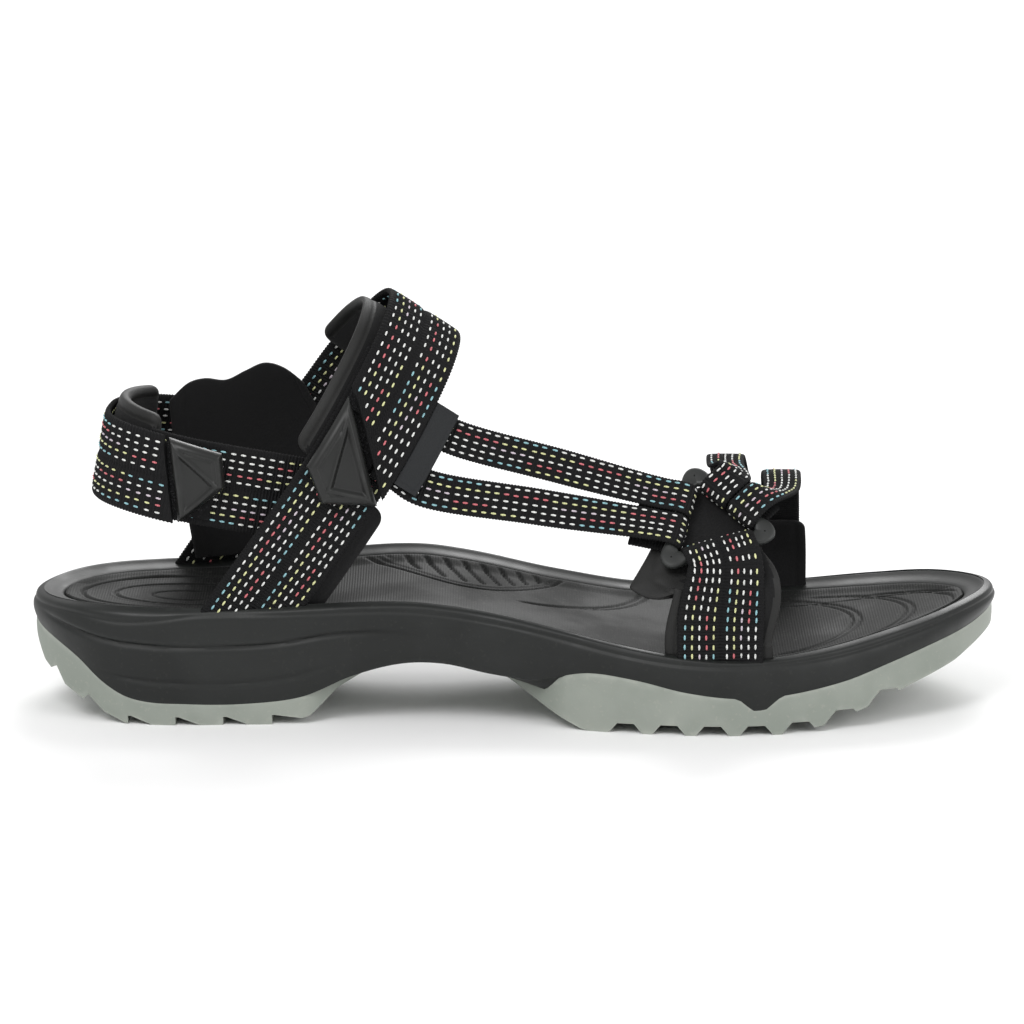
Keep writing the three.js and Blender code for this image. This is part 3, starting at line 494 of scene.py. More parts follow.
TOE_ROUTE = [(193.5, -10, 68.2), (194, 6, 67.6), (195.5, 24, 61), (197.8, 38, 49), (199.6, 45, 35)]
FRONT_ROUTE = [(208, -18, 62.6), (209.5, 3, 63.2), (210, 23, 58.5), (211, 38, 47.6), (211.5, 45, 35)]
toe_rear = toe_band(BAND_OFFSET, TOE_ROUTE, toe_rear_foot)
toe_front = toe_band(-BAND_OFFSET, FRONT_ROUTE, toe_front_foot)
medial_middle = (toe_rear_foot + toe_front_foot) / 2
MEDIAL_LINING_WIDTH = 2 * BAND_WIDTH + TOE_GAP + 4
MEDIAL_LINING_LIFT = -BAND_THICKNESS / 2 - 2 * CLEARANCE - LINING_THICKNESS
medial_lining_band = Ribbon(
    [
        medial_middle + STRAIGHT_DOWN, medial_middle, np.array((205.5, 44.4, 35)),
        np.array((204.4, 36.6, 47.4)), np.array((202.6, 24, 57)),
    ],
    [-ALONG_X] * 5,
    steps=12,
    even=False,
)


# ---- Mesh helpers --------------------------------------------------------------------------------


def coordinates(mesh):
    flat = np.empty(len(mesh.vertices) * 3)
    mesh.vertices.foreach_get("co", flat)
    return flat.reshape(-1, 3)


def edit(mesh, *changes):
    """Runs bmesh changes on a mesh, one after the other."""
    bm = bmesh.new()
    bm.from_mesh(mesh)
    for change in changes:
        change(bm)
    bm.to_mesh(mesh)
    bm.free()


def weld(bm):
    bmesh.ops.remove_doubles(bm, verts=bm.verts, dist=0.002 * MM)


def close_holes(bm):
    rims = [edge for edge in bm.edges if edge.is_boundary]
    if rims:
        bmesh.ops.holes_fill(bm, edges=rims, sides=0)


def face_out(bm):
    bmesh.ops.recalc_face_normals(bm, faces=bm.faces)


def cut_level(height):
    """Takes away what lies below a height in millimetres."""

    def cut(bm):
        everything = bm.verts[:] + bm.edges[:] + bm.faces[:]
        bmesh.ops.bisect_plane(
            bm, geom=everything, plane_co=(0, 0, height * MM), plane_no=(0, 0, -1), clear_outer=True
        )

    return cut


def bent_grid(name, across, along, place, spread=(1, 1)):
    """A grid of faces, moved to place(u, v) in millimetres; u and v run from 0 to 1.

    The UV map holds u and v times spread."""
    bm = bmesh.new()
    bmesh.ops.create_grid(bm, x_segments=across, y_segments=along, size=0.5)
    mesh = bpy.data.meshes.new(name)
    bm.to_mesh(mesh)
    bm.free()
    flat = coordinates(mesh)
    u, v = flat[:, 0] + 0.5, flat[:, 1] + 0.5
    corners = np.empty(len(mesh.loops), np.int32)
    mesh.loops.foreach_get("vertex_index", corners)
    layer = mesh.uv_layers.new(name="UVMap")
    uv = np.stack((u * spread[0], v * spread[1]), axis=1)
    layer.data.foreach_set("uv", uv[corners].ravel())
    mesh.vertices.foreach_set("co", in_frame(place(u, v)).ravel())
    return mesh


SHARP = math.radians(40)


def piece(name, mesh, material, body="root", replaces=(), sharp=SHARP):
    """Makes an object of a mesh and places it on its body."""
    mesh.name = name
    for polygon in mesh.polygons:
        polygon.use_smooth = True
    mesh.set_sharp_from_angle(angle=sharp)
    made = bpy.data.objects.new(name, mesh)
    bpy.context.scene.collection.objects.link(made)
    for one in material if isinstance(material, list) else [material]:
        mesh.materials.append(one)
    if body:
        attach(made, body)
    if replaces:
        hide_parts(*replaces)
    return made


def section(width, thickness, top, bottom, radius=None, arc=5):
    """A flat strap's section as points from its lower left round to the left again.

    Gives the share across (-1 to 1) and the height (0 to thickness) of each point."""
    radius = min(radius or thickness / 2, thickness / 2)
    half = width / 2 - radius
    turn = np.linspace(-math.pi / 2, math.pi / 2, 2 * arc + 1)[1:-1]
    right = np.stack((half + radius * np.cos(turn), thickness / 2 + np.sin(turn) * thickness / 2), 1)
    left = right[::-1] * (-1, 1)
    low = np.stack((np.linspace(-half, half, bottom), np.zeros(bottom)), 1)
    high = np.stack((np.linspace(half, -half, top), np.full(top, thickness)), 1)
    return np.vstack((low, right, high, left))


def ribbon_solid(name, band, start, end, stations, outline, shape=None, ends=None):
    """A closed solid whose section follows a ribbon from start to end, in millimetres.

    outline holds (aside, lift) points. shape(along, aside, lift) gives the changed aside and lift."""
    count = len(outline)

    def place(u, v):
        turn = np.rint(v * count).astype(int) % count
        aside, lift = outline[turn].T
        along = start + (end - start) * u
        if ends:
            along = ends(u, aside, along)
        if shape:
            aside, lift = shape(along, aside, lift)
        return band.at(along, aside, lift)

    perimeter = np.linalg.norm(np.diff(outline, axis=0, append=outline[:1]), axis=1).sum()
    mesh = bent_grid(name, stations, count, place, spread=(abs(end - start), perimeter))
    edit(mesh, weld, close_holes, face_out)
    return mesh


# ---- Material helpers ----------------------------------------------------------------------------


def node(tree, kind, inputs=None, **settings):
    """Adds a shader node. inputs maps a socket's name or number to a value or to another socket."""
    made = tree.nodes.new("ShaderNode" + kind)
    for name, value in settings.items():
        setattr(made, name, value)
    for key, value in (inputs or {}).items():
        socket = made.inputs[key]
        if isinstance(value, bpy.types.NodeSocket):
            tree.links.new(value, socket)
        else:
            socket.default_value = value
    return made


def maths(tree, operation, first, second=0.0, third=0.0):
    return node(tree, "Math", {0: first, 1: second, 2: third}, operation=operation).outputs[0]


def ranged(tree, value, low, high, to_low=0.0, to_high=1.0):
    inputs = {"Value": value, "From Min": low, "From Max": high, "To Min": to_low, "To Max": to_high}
    return node(tree, "MapRange", inputs, interpolation_type="SMOOTHSTEP").outputs["Result"]


def blended(tree, mask, first, second):
    """Mixes two colours, each a socket or an (r, g, b)."""
    made = node(tree, "Mix", {"Factor": mask}, data_type="RGBA")
    for key, colour in ((6, first), (7, second)):
        if isinstance(colour, bpy.types.NodeSocket):
            tree.links.new(colour, made.inputs[key])
        else:
            made.inputs[key].default_value = (*colour, 1)
    return made.outputs[2]


def effect_group(name, inputs, outputs):
    """A shader node group with float inputs {name: default} and outputs; returns its tree and ends."""
    tree = bpy.data.node_groups.new(name, "ShaderNodeTree")
    for label, default in inputs.items():
        kind = "NodeSocketVector" if default is None else "NodeSocketFloat"
        socket = tree.interface.new_socket(label, in_out="INPUT", socket_type=kind)
        if default is not None:
            socket.default_value = default
    for label in outputs:
        tree.interface.new_socket(label, in_out="OUTPUT", socket_type="NodeSocketFloat")
    return tree, tree.nodes.new("NodeGroupInput").outputs, tree.nodes.new("NodeGroupOutput").inputs


def make_grain():
    """Moulded grain: a fine Height, a soft blotchy Mottle and a sparse Dust mask."""
    inputs = {"Place": None, "Grain Scale": 1500.0, "Mottle Scale": 40.0}
    tree, given, put = effect_group("moulded_grain", inputs, ("Height", "Mottle", "Dust"))
    fine = node(tree, "TexNoise", {"Vector": given["Place"], "Scale": given["Grain Scale"], "Detail": 3.0})
    soft = node(tree, "TexNoise", {"Vector": given["Place"], "Scale": given["Mottle Scale"], "Detail": 4.0})
    specks = node(tree, "TexNoise", {"Vector": given["Place"], "Scale": 900.0, "Detail": 1.0})
    tree.links.new(fine.outputs[0], put["Height"])
    tree.links.new(ranged(tree, soft.outputs[0], 0.35, 0.65), put["Mottle"])
    dust = maths(tree, "MULTIPLY", ranged(tree, specks.outputs[0], 0.62, 0.75), soft.outputs[0])
    tree.links.new(dust, put["Dust"])
    return tree


def make_wear_and_highlight():
    """A mask of the outward edges, broken up by noise: partly rubbed wear, partly a painted highlight where a
    rounded edge would catch the light.
    """
    tree, given, put = effect_group("edge_wear_and_highlight", {"Place": None, "Reach": 0.54, "Amount": 1.0}, ("Mask",))
    sharpness = node(tree, "NewGeometry").outputs["Pointiness"]
    edge = ranged(tree, sharpness, 0.505, given["Reach"])
    broken = node(tree, "TexNoise", {"Vector": given["Place"], "Scale": 220.0, "Detail": 4.0}).outputs[0]
    worn_and_highlit = maths(tree, "MULTIPLY", edge, ranged(tree, broken, 0.3, 0.7))
    tree.links.new(maths(tree, "MULTIPLY", worn_and_highlit, given["Amount"]), put["Mask"])
    return tree


def make_weave():
    """Plain weave on a surface map in millimetres: yarns along and across, each a rounded ridge."""
    inputs = {"Place": None, "Along Pitch": 0.9, "Across Pitch": 0.5}
    tree, given, put = effect_group("weave", inputs, ("Height",))
    parts = node(tree, "SeparateXYZ", {"Vector": given["Place"]}).outputs

    def yarn(value, pitch):
        turns = maths(tree, "DIVIDE", value, pitch)
        wave = maths(tree, "SINE", maths(tree, "MULTIPLY", turns, math.tau))
        return maths(tree, "MULTIPLY_ADD", wave, 0.5, 0.5)

    along, across = yarn(parts[0], given["Along Pitch"]), yarn(parts[1], given["Across Pitch"])
    checker = maths(tree, "MULTIPLY", along, across)
    other = maths(tree, "MULTIPLY", maths(tree, "SUBTRACT", 1.0, along), maths(tree, "SUBTRACT", 1.0, across))
    tree.links.new(maths(tree, "ADD", checker, other), put["Height"])
    return tree


GRAIN, WEAR_AND_HIGHLIGHT, WEAVE = make_grain(), make_wear_and_highlight(), make_weave()


def group(tree, shared, inputs):
    made = tree.nodes.new("ShaderNodeGroup")
    made.node_tree = shared
    for key, value in inputs.items():
        if isinstance(value, bpy.types.NodeSocket):
            tree.links.new(value, made.inputs[key])
        else:
            made.inputs[key].default_value = value
    return made.outputs


def new_material(name, **constants):
    """A material with a Principled BSDF; constants set its own sockets."""
    material = bpy.data.materials.new(name)
    material.use_nodes = True
    shader = material.node_tree.nodes["Principled BSDF"]
    for label, value in constants.items():
        shader.inputs[label.replace("_", " ")].default_value = value
    return material, material.node_tree, shader


def bumped(tree, shader, height, distance):
    """Gives a material's surface a relief of distance in millimetres."""
    inputs = {"Height": height, "Distance": distance * MM, "Strength": 1.0}
    tree.links.new(node(tree, "Bump", inputs).outputs[0], shader.inputs["Normal"])


def place_of(tree):
    return node(tree, "TexCoord").outputs["Object"]


def srgb(red, green, blue):
    """A colour given as 0 to 255 screen values."""
    channels = (red, green, blue)
    return tuple(((c / 255 + 0.055) / 1.055) ** 2.4 if c > 10 else c / 255 / 12.92 for c in channels)


DUST_COLOUR = srgb(176, 170, 158)


def moulded(name, colour, second, worn_and_highlit, roughness, grain_scale, grain_depth, wear_and_highlight_amount=0.5, dust=0.0, **constants):
    """Moulded foam, rubber or plastic: mottled colour, lighter edges that are partly rubbed wear and partly
    painted highlight, grain and dust.
    """
    material, tree, shader = new_material(name, **constants)
    place = place_of(tree)
    grain = group(tree, GRAIN, {"Place": place, "Grain Scale": grain_scale})
    wear_and_highlight_mask = group(tree, WEAR_AND_HIGHLIGHT, {"Place": place, "Amount": wear_and_highlight_amount})["Mask"]
    base = blended(tree, grain["Mottle"], colour, second)
    # Outward edges take the lighter edge colour: partly rubbed wear, partly painted highlight on the edges.
    base = blended(tree, wear_and_highlight_mask, base, worn_and_highlit)
    base = blended(tree, maths(tree, "MULTIPLY", grain["Dust"], dust), base, DUST_COLOUR)
    tree.links.new(base, shader.inputs["Base Color"])
    low, high = roughness
    matt = ranged(tree, grain["Mottle"], 0, 1, low, high)
    rough = maths(tree, "ADD", matt, maths(tree, "MULTIPLY", wear_and_highlight_mask, -0.08))
    tree.links.new(rough, shader.inputs["Roughness"])
    bumped(tree, shader, grain["Height"], grain_depth)
    return material


def cloth(name, colour, second, along_pitch, across_pitch, depth, roughness, **constants):
    """Woven or knitted cloth whose yarns follow the piece's surface map."""
    material, tree, shader = new_material(name, **constants)
    place = node(tree, "UVMap", uv_map="UVMap").outputs[0]
    pitches = {"Along Pitch": along_pitch, "Across Pitch": across_pitch}
    weave = group(tree, WEAVE, {"Place": place, **pitches})
    fuzz = node(tree, "TexNoise", {"Vector": place, "Scale": 3.0, "Detail": 5.0}).outputs[0]
    # Raised yarns take the lighter second colour, varied by random fuzz: painted highlight on the yarn crowns
    # and painted shade in the hollows between them.
    base = blended(tree, maths(tree, "MULTIPLY", weave["Height"], fuzz), colour, second)
    tree.links.new(base, shader.inputs["Base Color"])
    rough = ranged(tree, fuzz, 0.3, 0.7, roughness - 0.08, roughness + 0.08)
    tree.links.new(rough, shader.inputs["Roughness"])
    height = maths(tree, "ADD", weave["Height"], maths(tree, "MULTIPLY", fuzz, 0.4))
    bumped(tree, shader, height, depth)
    return material


# ---- Materials -----------------------------------------------------------------------------------

# The third colour of each moulded finish goes on its outward edges: partly rubbed wear, partly painted
# highlight.
OUTSOLE = moulded(
    "outsole_rubber_grey", srgb(140, 145, 137), srgb(130, 136, 128), srgb(164, 167, 159),
    roughness=(0.5, 0.66), grain_scale=900.0, grain_depth=0.03, dust=0.25,
)
MIDSOLE = moulded(
    "midsole_foam_charcoal", srgb(25, 27, 26), srgb(19, 21, 20), srgb(50, 53, 51),
    roughness=(0.38, 0.52), grain_scale=1300.0, grain_depth=0.02, wear_and_highlight_amount=0.35, dust=0.02,
    Specular_IOR_Level=0.36,
)
SHANK = moulded(
    "shank_nylon", srgb(30, 31, 34), srgb(24, 25, 28), srgb(70, 70, 72),
    roughness=(0.35, 0.5), grain_scale=2500.0, grain_depth=0.008,
)
SHOCK = moulded(
    "shock_foam_blue_grey", srgb(111, 118, 129), srgb(98, 104, 116), srgb(140, 146, 155),
    roughness=(0.8, 0.9), grain_scale=700.0, grain_depth=0.08,
)
TAB = moulded(
    "tab_rubber_satin", srgb(20, 21, 20), srgb(15, 16, 15), srgb(52, 53, 52),
    roughness=(0.34, 0.46), grain_scale=2200.0, grain_depth=0.012, Specular_IOR_Level=0.42,
)
RING = moulded(
    "ring_nylon_grey", srgb(31, 33, 32), srgb(25, 27, 26), srgb(64, 66, 65),
    roughness=(0.4, 0.54), grain_scale=1800.0, grain_depth=0.012, Specular_IOR_Level=0.42,
)
WEBBING = cloth(
    "webbing_black", srgb(7, 7, 8), srgb(22, 22, 24),
    along_pitch=0.3, across_pitch=0.34, depth=0.08, roughness=0.8, Specular_IOR_Level=0.28,
)
LINING = cloth(
    "lining_knit_black", srgb(12, 12, 13), srgb(22, 22, 23),
    along_pitch=0.5, across_pitch=0.42, depth=0.05, roughness=0.86, Sheen_Weight=0.06,
    Specular_IOR_Level=0.3,
)
PIPING = cloth(
    "piping_satin", srgb(17, 17, 16), srgb(26, 26, 25),
    along_pitch=0.45, across_pitch=0.45, depth=0.025, roughness=0.55, Specular_IOR_Level=0.4,
)
LABEL = cloth(
    "label_cloth_grey", srgb(22, 24, 26), srgb(36, 38, 40),
    along_pitch=0.34, across_pitch=0.34, depth=0.04, roughness=0.7, Specular_IOR_Level=0.35,
)


def fuzzy_tape(name, colour, second, scale, depth):
    """Hook or loop tape: a dense nap of tiny hooks or loops."""
    material, tree, shader = new_material(name, Specular_IOR_Level=0.25)
    place = node(tree, "UVMap", uv_map="UVMap").outputs[0]
    cells = node(tree, "TexVoronoi", {"Vector": place, "Scale": scale, "Randomness": 0.7}).outputs[0]
    tufts = ranged(tree, cells, 0.0, 0.6, 1.0, 0.0)
    # The tufts' tops take the lighter second colour: painted highlight on the raised tufts and painted shade
    # in the hollows between them.
    tree.links.new(blended(tree, tufts, colour, second), shader.inputs["Base Color"])
    tree.links.new(ranged(tree, tufts, 0, 1, 0.95, 0.8), shader.inputs["Roughness"])
    bumped(tree, shader, tufts, depth)
    return material


HOOKS = fuzzy_tape("hook_tape", srgb(14, 14, 15), srgb(44, 44, 46), scale=1.6, depth=0.35)
LOOPS = fuzzy_tape("loop_tape", srgb(12, 12, 13), srgb(34, 34, 36), scale=1.1, depth=0.3)


FOOTBED_RIB_PITCH = 0.75


def footbed_finish():
    """Dark foam with fine ribs across the foot."""
    material, tree, shader = new_material("footbed_foam_ribbed", Specular_IOR_Level=0.3)
    place = place_of(tree)
    grain = group(tree, GRAIN, {"Place": place, "Grain Scale": 1600.0, "Mottle Scale": 30.0})
    wear_and_highlight_mask = group(tree, WEAR_AND_HIGHLIGHT, {"Place": place, "Amount": 0.5})["Mask"]
    along = node(tree, "SeparateXYZ", {"Vector": place}).outputs[0]
    ribs = maths(tree, "SINE", maths(tree, "MULTIPLY", along, math.tau / (FOOTBED_RIB_PITCH * MM)))
    base = blended(tree, grain["Mottle"], srgb(23, 24, 23), srgb(18, 19, 18))
    # Outward edges and the relief's ridges take a lighter colour: partly rubbed wear, partly painted
    # highlight.
    base = blended(tree, wear_and_highlight_mask, base, srgb(48, 50, 49))
    base = blended(tree, maths(tree, "MULTIPLY", grain["Dust"], 0.12), base, srgb(150, 148, 140))
    tree.links.new(base, shader.inputs["Base Color"])
    tree.links.new(ranged(tree, grain["Mottle"], 0, 1, 0.62, 0.74), shader.inputs["Roughness"])
    height = maths(tree, "ADD", maths(tree, "MULTIPLY", ribs, 0.5), grain["Height"])
    bumped(tree, shader, height, 0.05)
    return material


def thread(name, colour):
    """A shiny coloured yarn, twisted along its length."""
    material, tree, shader = new_material(f"thread_{name}", Sheen_Weight=0.2)
    place = place_of(tree)
    twist = node(tree, "TexNoise", {"Vector": place, "Scale": 2600.0, "Detail": 2.0}).outputs[0]
    shade = tuple(c * 0.62 for c in colour)
    tree.links.new(blended(tree, ranged(tree, twist, 0.35, 0.6), shade, colour), shader.inputs["Base Color"])
    tree.links.new(ranged(tree, twist, 0.3, 0.7, 0.5, 0.7), shader.inputs["Roughness"])
    bumped(tree, shader, twist, 0.05)
    return material


FOOTBED = footbed_finish()
THREAD_COLOURS = {
    "white": srgb(228, 229, 226),
    "yellow": srgb(216, 218, 160),
    "pink": srgb(206, 106, 114),
    "teal": srgb(140, 188, 196),
    "lilac": srgb(204, 192, 202),
}
THREADS = {name: thread(name, colour) for name, colour in THREAD_COLOURS.items()}
THREAD_ORDER = list(THREADS)

# ---- Webbing straps ------------------------------------------------------------------------------

RIB_PITCH = 0.9
RIB_STEPS = 4
DASH_PITCH = 3 * RIB_PITCH
DASH_LENGTH = 1.55
DASH_WIDTH = 0.6
DASH_HEIGHT = 0.5
ROW_PITCH = 1.96
ALONG_JITTER = 0.035
ASIDE_JITTER = 0.04
RIB_HEIGHT = 0.15
GROOVE_DEPTH = 0.4
GROOVE_HALF_WIDTH = 0.75
CROWN_HEIGHT = 0.12
SELVEDGE = 1.2
# Each row of dashes changes colour after so many dashes.
ROW_COLOURS = [
    (("white", 9), ("teal", 5)),
    (("yellow", 8), ("pink", 5)),
    (("white", 11), ("lilac", 4)),
    (("white", 9), ("pink", 4)),
    (("yellow", 7), ("white", 6), ("teal", 4)),
]


def dash_colour(row, count, seed):
    blocks = ROW_COLOURS[row]
    line = [colour for colour, length in blocks for _ in range(length)]
    return line[(count + 3 * row + 5 * seed) % len(line)]


def dash_template():
    """One dash: a small spindle along x, as (points, faces)."""
    bm = bmesh.new()
    bmesh.ops.create_uvsphere(bm, u_segments=6, v_segments=4, radius=0.5)
    bmesh.ops.rotate(bm, verts=bm.verts, matrix=Euler((0, math.pi / 2, 0)).to_matrix())
    bmesh.ops.scale(bm, verts=bm.verts, vec=(DASH_LENGTH, DASH_WIDTH, DASH_HEIGHT))
    for vertex in bm.verts:
        vertex.co.x = math.copysign(abs(2 * vertex.co.x / DASH_LENGTH) ** 0.7, vertex.co.x) * DASH_LENGTH / 2
    points = np.array([vertex.co for vertex in bm.verts])
    faces = [[vertex.index for vertex in face.verts] for face in bm.faces]
    bm.free()
    return points, faces


DASH_POINTS, DASH_FACES = dash_template()


def stitches(name, body, placed):
    """One piece of many small yarn dashes; placed holds (point, along, face, colour) of each."""
    points, faces, colours = [], [], []
    for count, (spot, along, face, colour) in enumerate(placed):
        side = np.cross(face, along)
        points.append(
            spot + DASH_POINTS[:, :1] * along + DASH_POINTS[:, 1:2] * side + DASH_POINTS[:, 2:] * face
        )
        faces += [[corner + count * len(DASH_POINTS) for corner in one] for one in DASH_FACES]
        colours += [THREAD_ORDER.index(colour)] * len(DASH_FACES)
    mesh = bpy.data.meshes.new(name)
    mesh.from_pydata(in_frame(np.vstack(points)).tolist(), [], faces)
    made = piece(name, mesh, list(THREADS.values()), body=body)
    mesh.polygons.foreach_set("material_index", colours)
    return made


def straight(value):
    return lambda along: np.full(np.shape(along), float(value))


# The lines of the thinner bands run through the middle of their thickness.
BAND_LINES = (upper_connector, lower_connector, fore_band, toe_rear, toe_front)


class Strap:
    """A length of webbing on a ribbon: one or two bands wide, ribbed across, a groove between bands.

    lift and squeeze give its height over the ribbon and its share of the full width at places along
    it. cut gives how far its start is cut back at places across it."""

    def __init__(self, name, band, start, end, seed, bands=2, lift=None, squeeze=None, cut=None):
        self.name, self.band, self.start, self.end = name, band, start, end
        self.seed, self.bands, self.cut = seed, bands, cut
        self.width, self.thickness = WEBBING_WIDTH, WEBBING_THICKNESS
        self.lift = lift or straight(0)
        self.squeeze = squeeze or straight(1)
        if band in BAND_LINES:
            self.thickness = BAND_THICKNESS
            self.lift = straight(-BAND_THICKNESS / 2)
        if bands == 1:
            self.width = BAND_WIDTH

    def shape(self, along, aside, lift):
        half, middle = self.width / 2, self.thickness / 2
        rib = np.cos(along * math.tau / RIB_PITCH)
        edge = smooth(half - SELVEDGE, half, abs(aside))
        outward = np.sign(lift - middle) * smooth(0, middle * 0.6, abs(lift - middle))
        lift = lift + outward * RIB_HEIGHT * rib * (1 - edge)
        aside = aside + np.sign(aside) * edge * (0.13 * rib + 0.05)
        band_middle = 0
        if self.bands == 2:
            band_middle = half / 2
            lift = lift - outward * GROOVE_DEPTH * ridge(aside, GROOVE_HALF_WIDTH)
        from_middle = np.clip(abs(abs(aside) - band_middle) / (half / self.bands), 0, 1)
        lift = lift + outward * CROWN_HEIGHT * (np.cos(from_middle * math.pi / 2) - 0.5)
        return aside * self.squeeze(along), self.lift(along) + lift

    def solid(self):
        stations = int(abs(self.end - self.start) / RIB_PITCH * RIB_STEPS)
        outline = section(self.width, self.thickness, 12 * self.bands + 5, 8 * self.bands + 3, arc=3)
        ends = self.slant if self.cut else None
        return ribbon_solid(self.name, self.band, self.start, self.end, stations, outline, self.shape, ends)

    def slant(self, u, aside, along):
        """Draws the start's slanted cut out evenly over the next 50 mm of the strap."""
        reach = min(0.95, 50 / abs(self.end - self.start))
        return along + self.cut(aside) * (1 - smooth(0, reach, u))

    def dashes(self, faces):
        """The coloured dashes on the outer face (1), the inner face (-1) or both."""
        placed = []
        random = np.random.default_rng(11 + self.seed)
        centres = (0,) if self.bands == 1 else (-1, 1)
        band_middle = self.width / 4 - 0.15
        first = math.ceil((self.start + 1) / DASH_PITCH)
        last = math.floor((self.end - 1) / DASH_PITCH)
        for count in range(first, last + 1):
            for centre in centres:
                for row in range(len(ROW_COLOURS)):
                    aside = centre * band_middle + (row - 2) * ROW_PITCH
                    along = (count + ALONG_JITTER * random.standard_normal()) * DASH_PITCH
                    limit = self.start + (self.cut(aside) if self.cut else 0) + 1
                    jitter = ASIDE_JITTER * random.standard_normal()
                    if along < limit:
                        continue
                    colour = dash_colour(row, count, self.seed + (centre > 0) * 2)
                    for face in faces:
                        placed.append(self.dash(along, aside + jitter, face, colour))
        return placed

    def dash(self, along, aside, face, colour):
        level = self.thickness + 0.02 if face > 0 else -0.02
        one = np.array([along])
        aside, lift = self.shape(one, np.array([aside]), np.array([level]))
        here, ahead = self.band.at(one, aside, lift)[0], self.band.at(one + 0.4, aside, lift)[0]
        return here, unit(ahead - here), self.band.read(one)[2][0] * face, colour


def strap_piece(cad_node, strap, floor=None, faces=(1,), bend=None):
    """Makes a strap and its dashes; bend is (body, body, start, end) where it crosses a joint, and a strap
    given one is put on no body.
    """
    mesh = strap.solid()
    if floor is not None:
        edit(mesh, cut_level(floor), close_holes)
    body = None if bend else "root"
    made = piece(strap.name, mesh, WEBBING, body=body, replaces=[cad_node])
    placed = [one for one in strap.dashes(faces) if floor is None or one[0][2] > floor + 1]
    dashes = stitches(strap.name + "_dashes", body, placed)
    if bend:
        for one in (made, dashes):
            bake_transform(one)


def between_dashes(along):
    """The nearest place along a strap that is halfway between two columns of dashes."""
    return (math.floor(along / DASH_PITCH) + 0.5) * DASH_PITCH


BEND_REACH = 4.0


def bend_over(band, hinge, lift, child):
    """Where a strap crosses its hinge: the root's and the flap's bodies, and spots BEND_REACH beyond and
    before the hinge.
    """
    start, end = band.spot(hinge + BEND_REACH, 0, lift), band.spot(hinge - BEND_REACH, 0, lift)
    return "root", child, tuple(in_frame([start])[0]), tuple(in_frame([end])[0])


# Nothing of the hoop goes below its slots' floors.
lateral_floor = float(rim_top(LATERAL_AT / SOLE_LENGTH, -1)) - SLOT_DEPTH
medial_floor = float(rim_top(MEDIAL_AT / SOLE_LENGTH, 1)) - SLOT_DEPTH


def lateral_lift(along):
    above = along - HOOP_ROOT
    return STRAP_LIFT - (PAD_THICKNESS - LINING_THICKNESS) * (1 - smooth(0, PAD_START - 6, above))


def instep_strap_lift(along):
    above = along - HOOP_ROOT
    down = (FLAP_LIFT - STRAP_LIFT) * smooth(HINGE_AT + 4, HINGE_AT + 30, above)
    return FLAP_LIFT - down - STRAP_LIFT * smooth(PAD_END, PAD_END + 16, above)


# The flap's free end is cut on a slant, along the tab.
TAB_BASE = [(62, -WEBBING_WIDTH / 2 + 0.6), (43, WEBBING_WIDTH / 2 - 0.4)]
TAB_TIP = [(36, -2), (42, -WEBBING_WIDTH / 2 + 0.6)]
tab_slope = (TAB_BASE[1][0] - TAB_BASE[0][0]) / (TAB_BASE[1][1] - TAB_BASE[0][1])


def flap_cut(aside):
    """How far past the flap's lowest point its slanted end lies, at a place across the strap."""
    return tab_slope * (aside - TAB_BASE[1][1]) + 2.2


HEEL_TAB = [
    (41, WEBBING_WIDTH / 2 - 0.4), (35.5, -WEBBING_WIDTH / 2 + 0.4), (25, 0.6), (27.5, WEBBING_WIDTH / 2 - 2),
]
heel_slope = (HEEL_TAB[1][0] - HEEL_TAB[0][0]) / (HEEL_TAB[1][1] - HEEL_TAB[0][1])


def heel_cut(aside):
    return heel_slope * (aside - HEEL_TAB[1][1]) + 1.2


def heel_strap_lift(along):
    return HEEL_FLAP_LIFT * (1 - smooth(HEEL_HINGE + 2, HEEL_HINGE + 26, along))


# How far past its hinge the flap's own piece reaches, and the far end of the heel's base strap.
FLAP_PAST_HINGE = 9
HEEL_BASE_END = 48


def make_wide_straps():
    """The straps of the ankle; the two that open are each split just past their hinge."""
    lateral = Strap("lateral_rear_webbing", hoop, 0, HOOP_ROOT + BASE_END, seed=1, lift=lateral_lift)
    strap_piece("lateral_rear_strap", lateral, floor=lateral_floor)
    split = between_dashes(HOOP_ROOT + HINGE_AT + FLAP_PAST_HINGE)
    flap = Strap(
        "instep_flap_webbing", hoop, HOOP_ROOT + TAB_BASE[1][0], split, seed=2, lift=instep_strap_lift,
        cut=flap_cut,
    )
    bend = bend_over(hoop, HOOP_ROOT + HINGE_AT, FLAP_LIFT, "instep_flap")
    strap_piece("instep_flap", flap, faces=(1, -1), bend=bend)
    instep = Strap("instep_webbing", hoop, split, hoop.length, seed=2, lift=instep_strap_lift)
    strap_piece("instep_strap", instep, floor=medial_floor, faces=(1, -1))
    strap_piece("heel_base_strap", Strap("heel_base_webbing", heel_loop, 0, HEEL_BASE_END, seed=3))
    split = between_dashes(HEEL_HINGE + FLAP_PAST_HINGE)
    flap = Strap(
        "heel_flap_webbing", heel_loop, HEEL_TAB[1][0], split, seed=4, lift=heel_strap_lift, cut=heel_cut,
    )
    bend = bend_over(heel_loop, HEEL_HINGE, HEEL_FLAP_LIFT, "heel_flap")
    strap_piece("heel_flap", flap, faces=(1, -1), bend=bend)
    heel = Strap("heel_webbing", heel_loop, split, heel_loop.length, seed=4, lift=heel_strap_lift)
    strap_piece("heel_strap", heel, faces=(1, -1))


def squeeze_between(start, end, before, after):
    """A band's share of its full width, which changes from before to after along it."""
    return lambda along: mix(before, after, smooth(start, end, along))


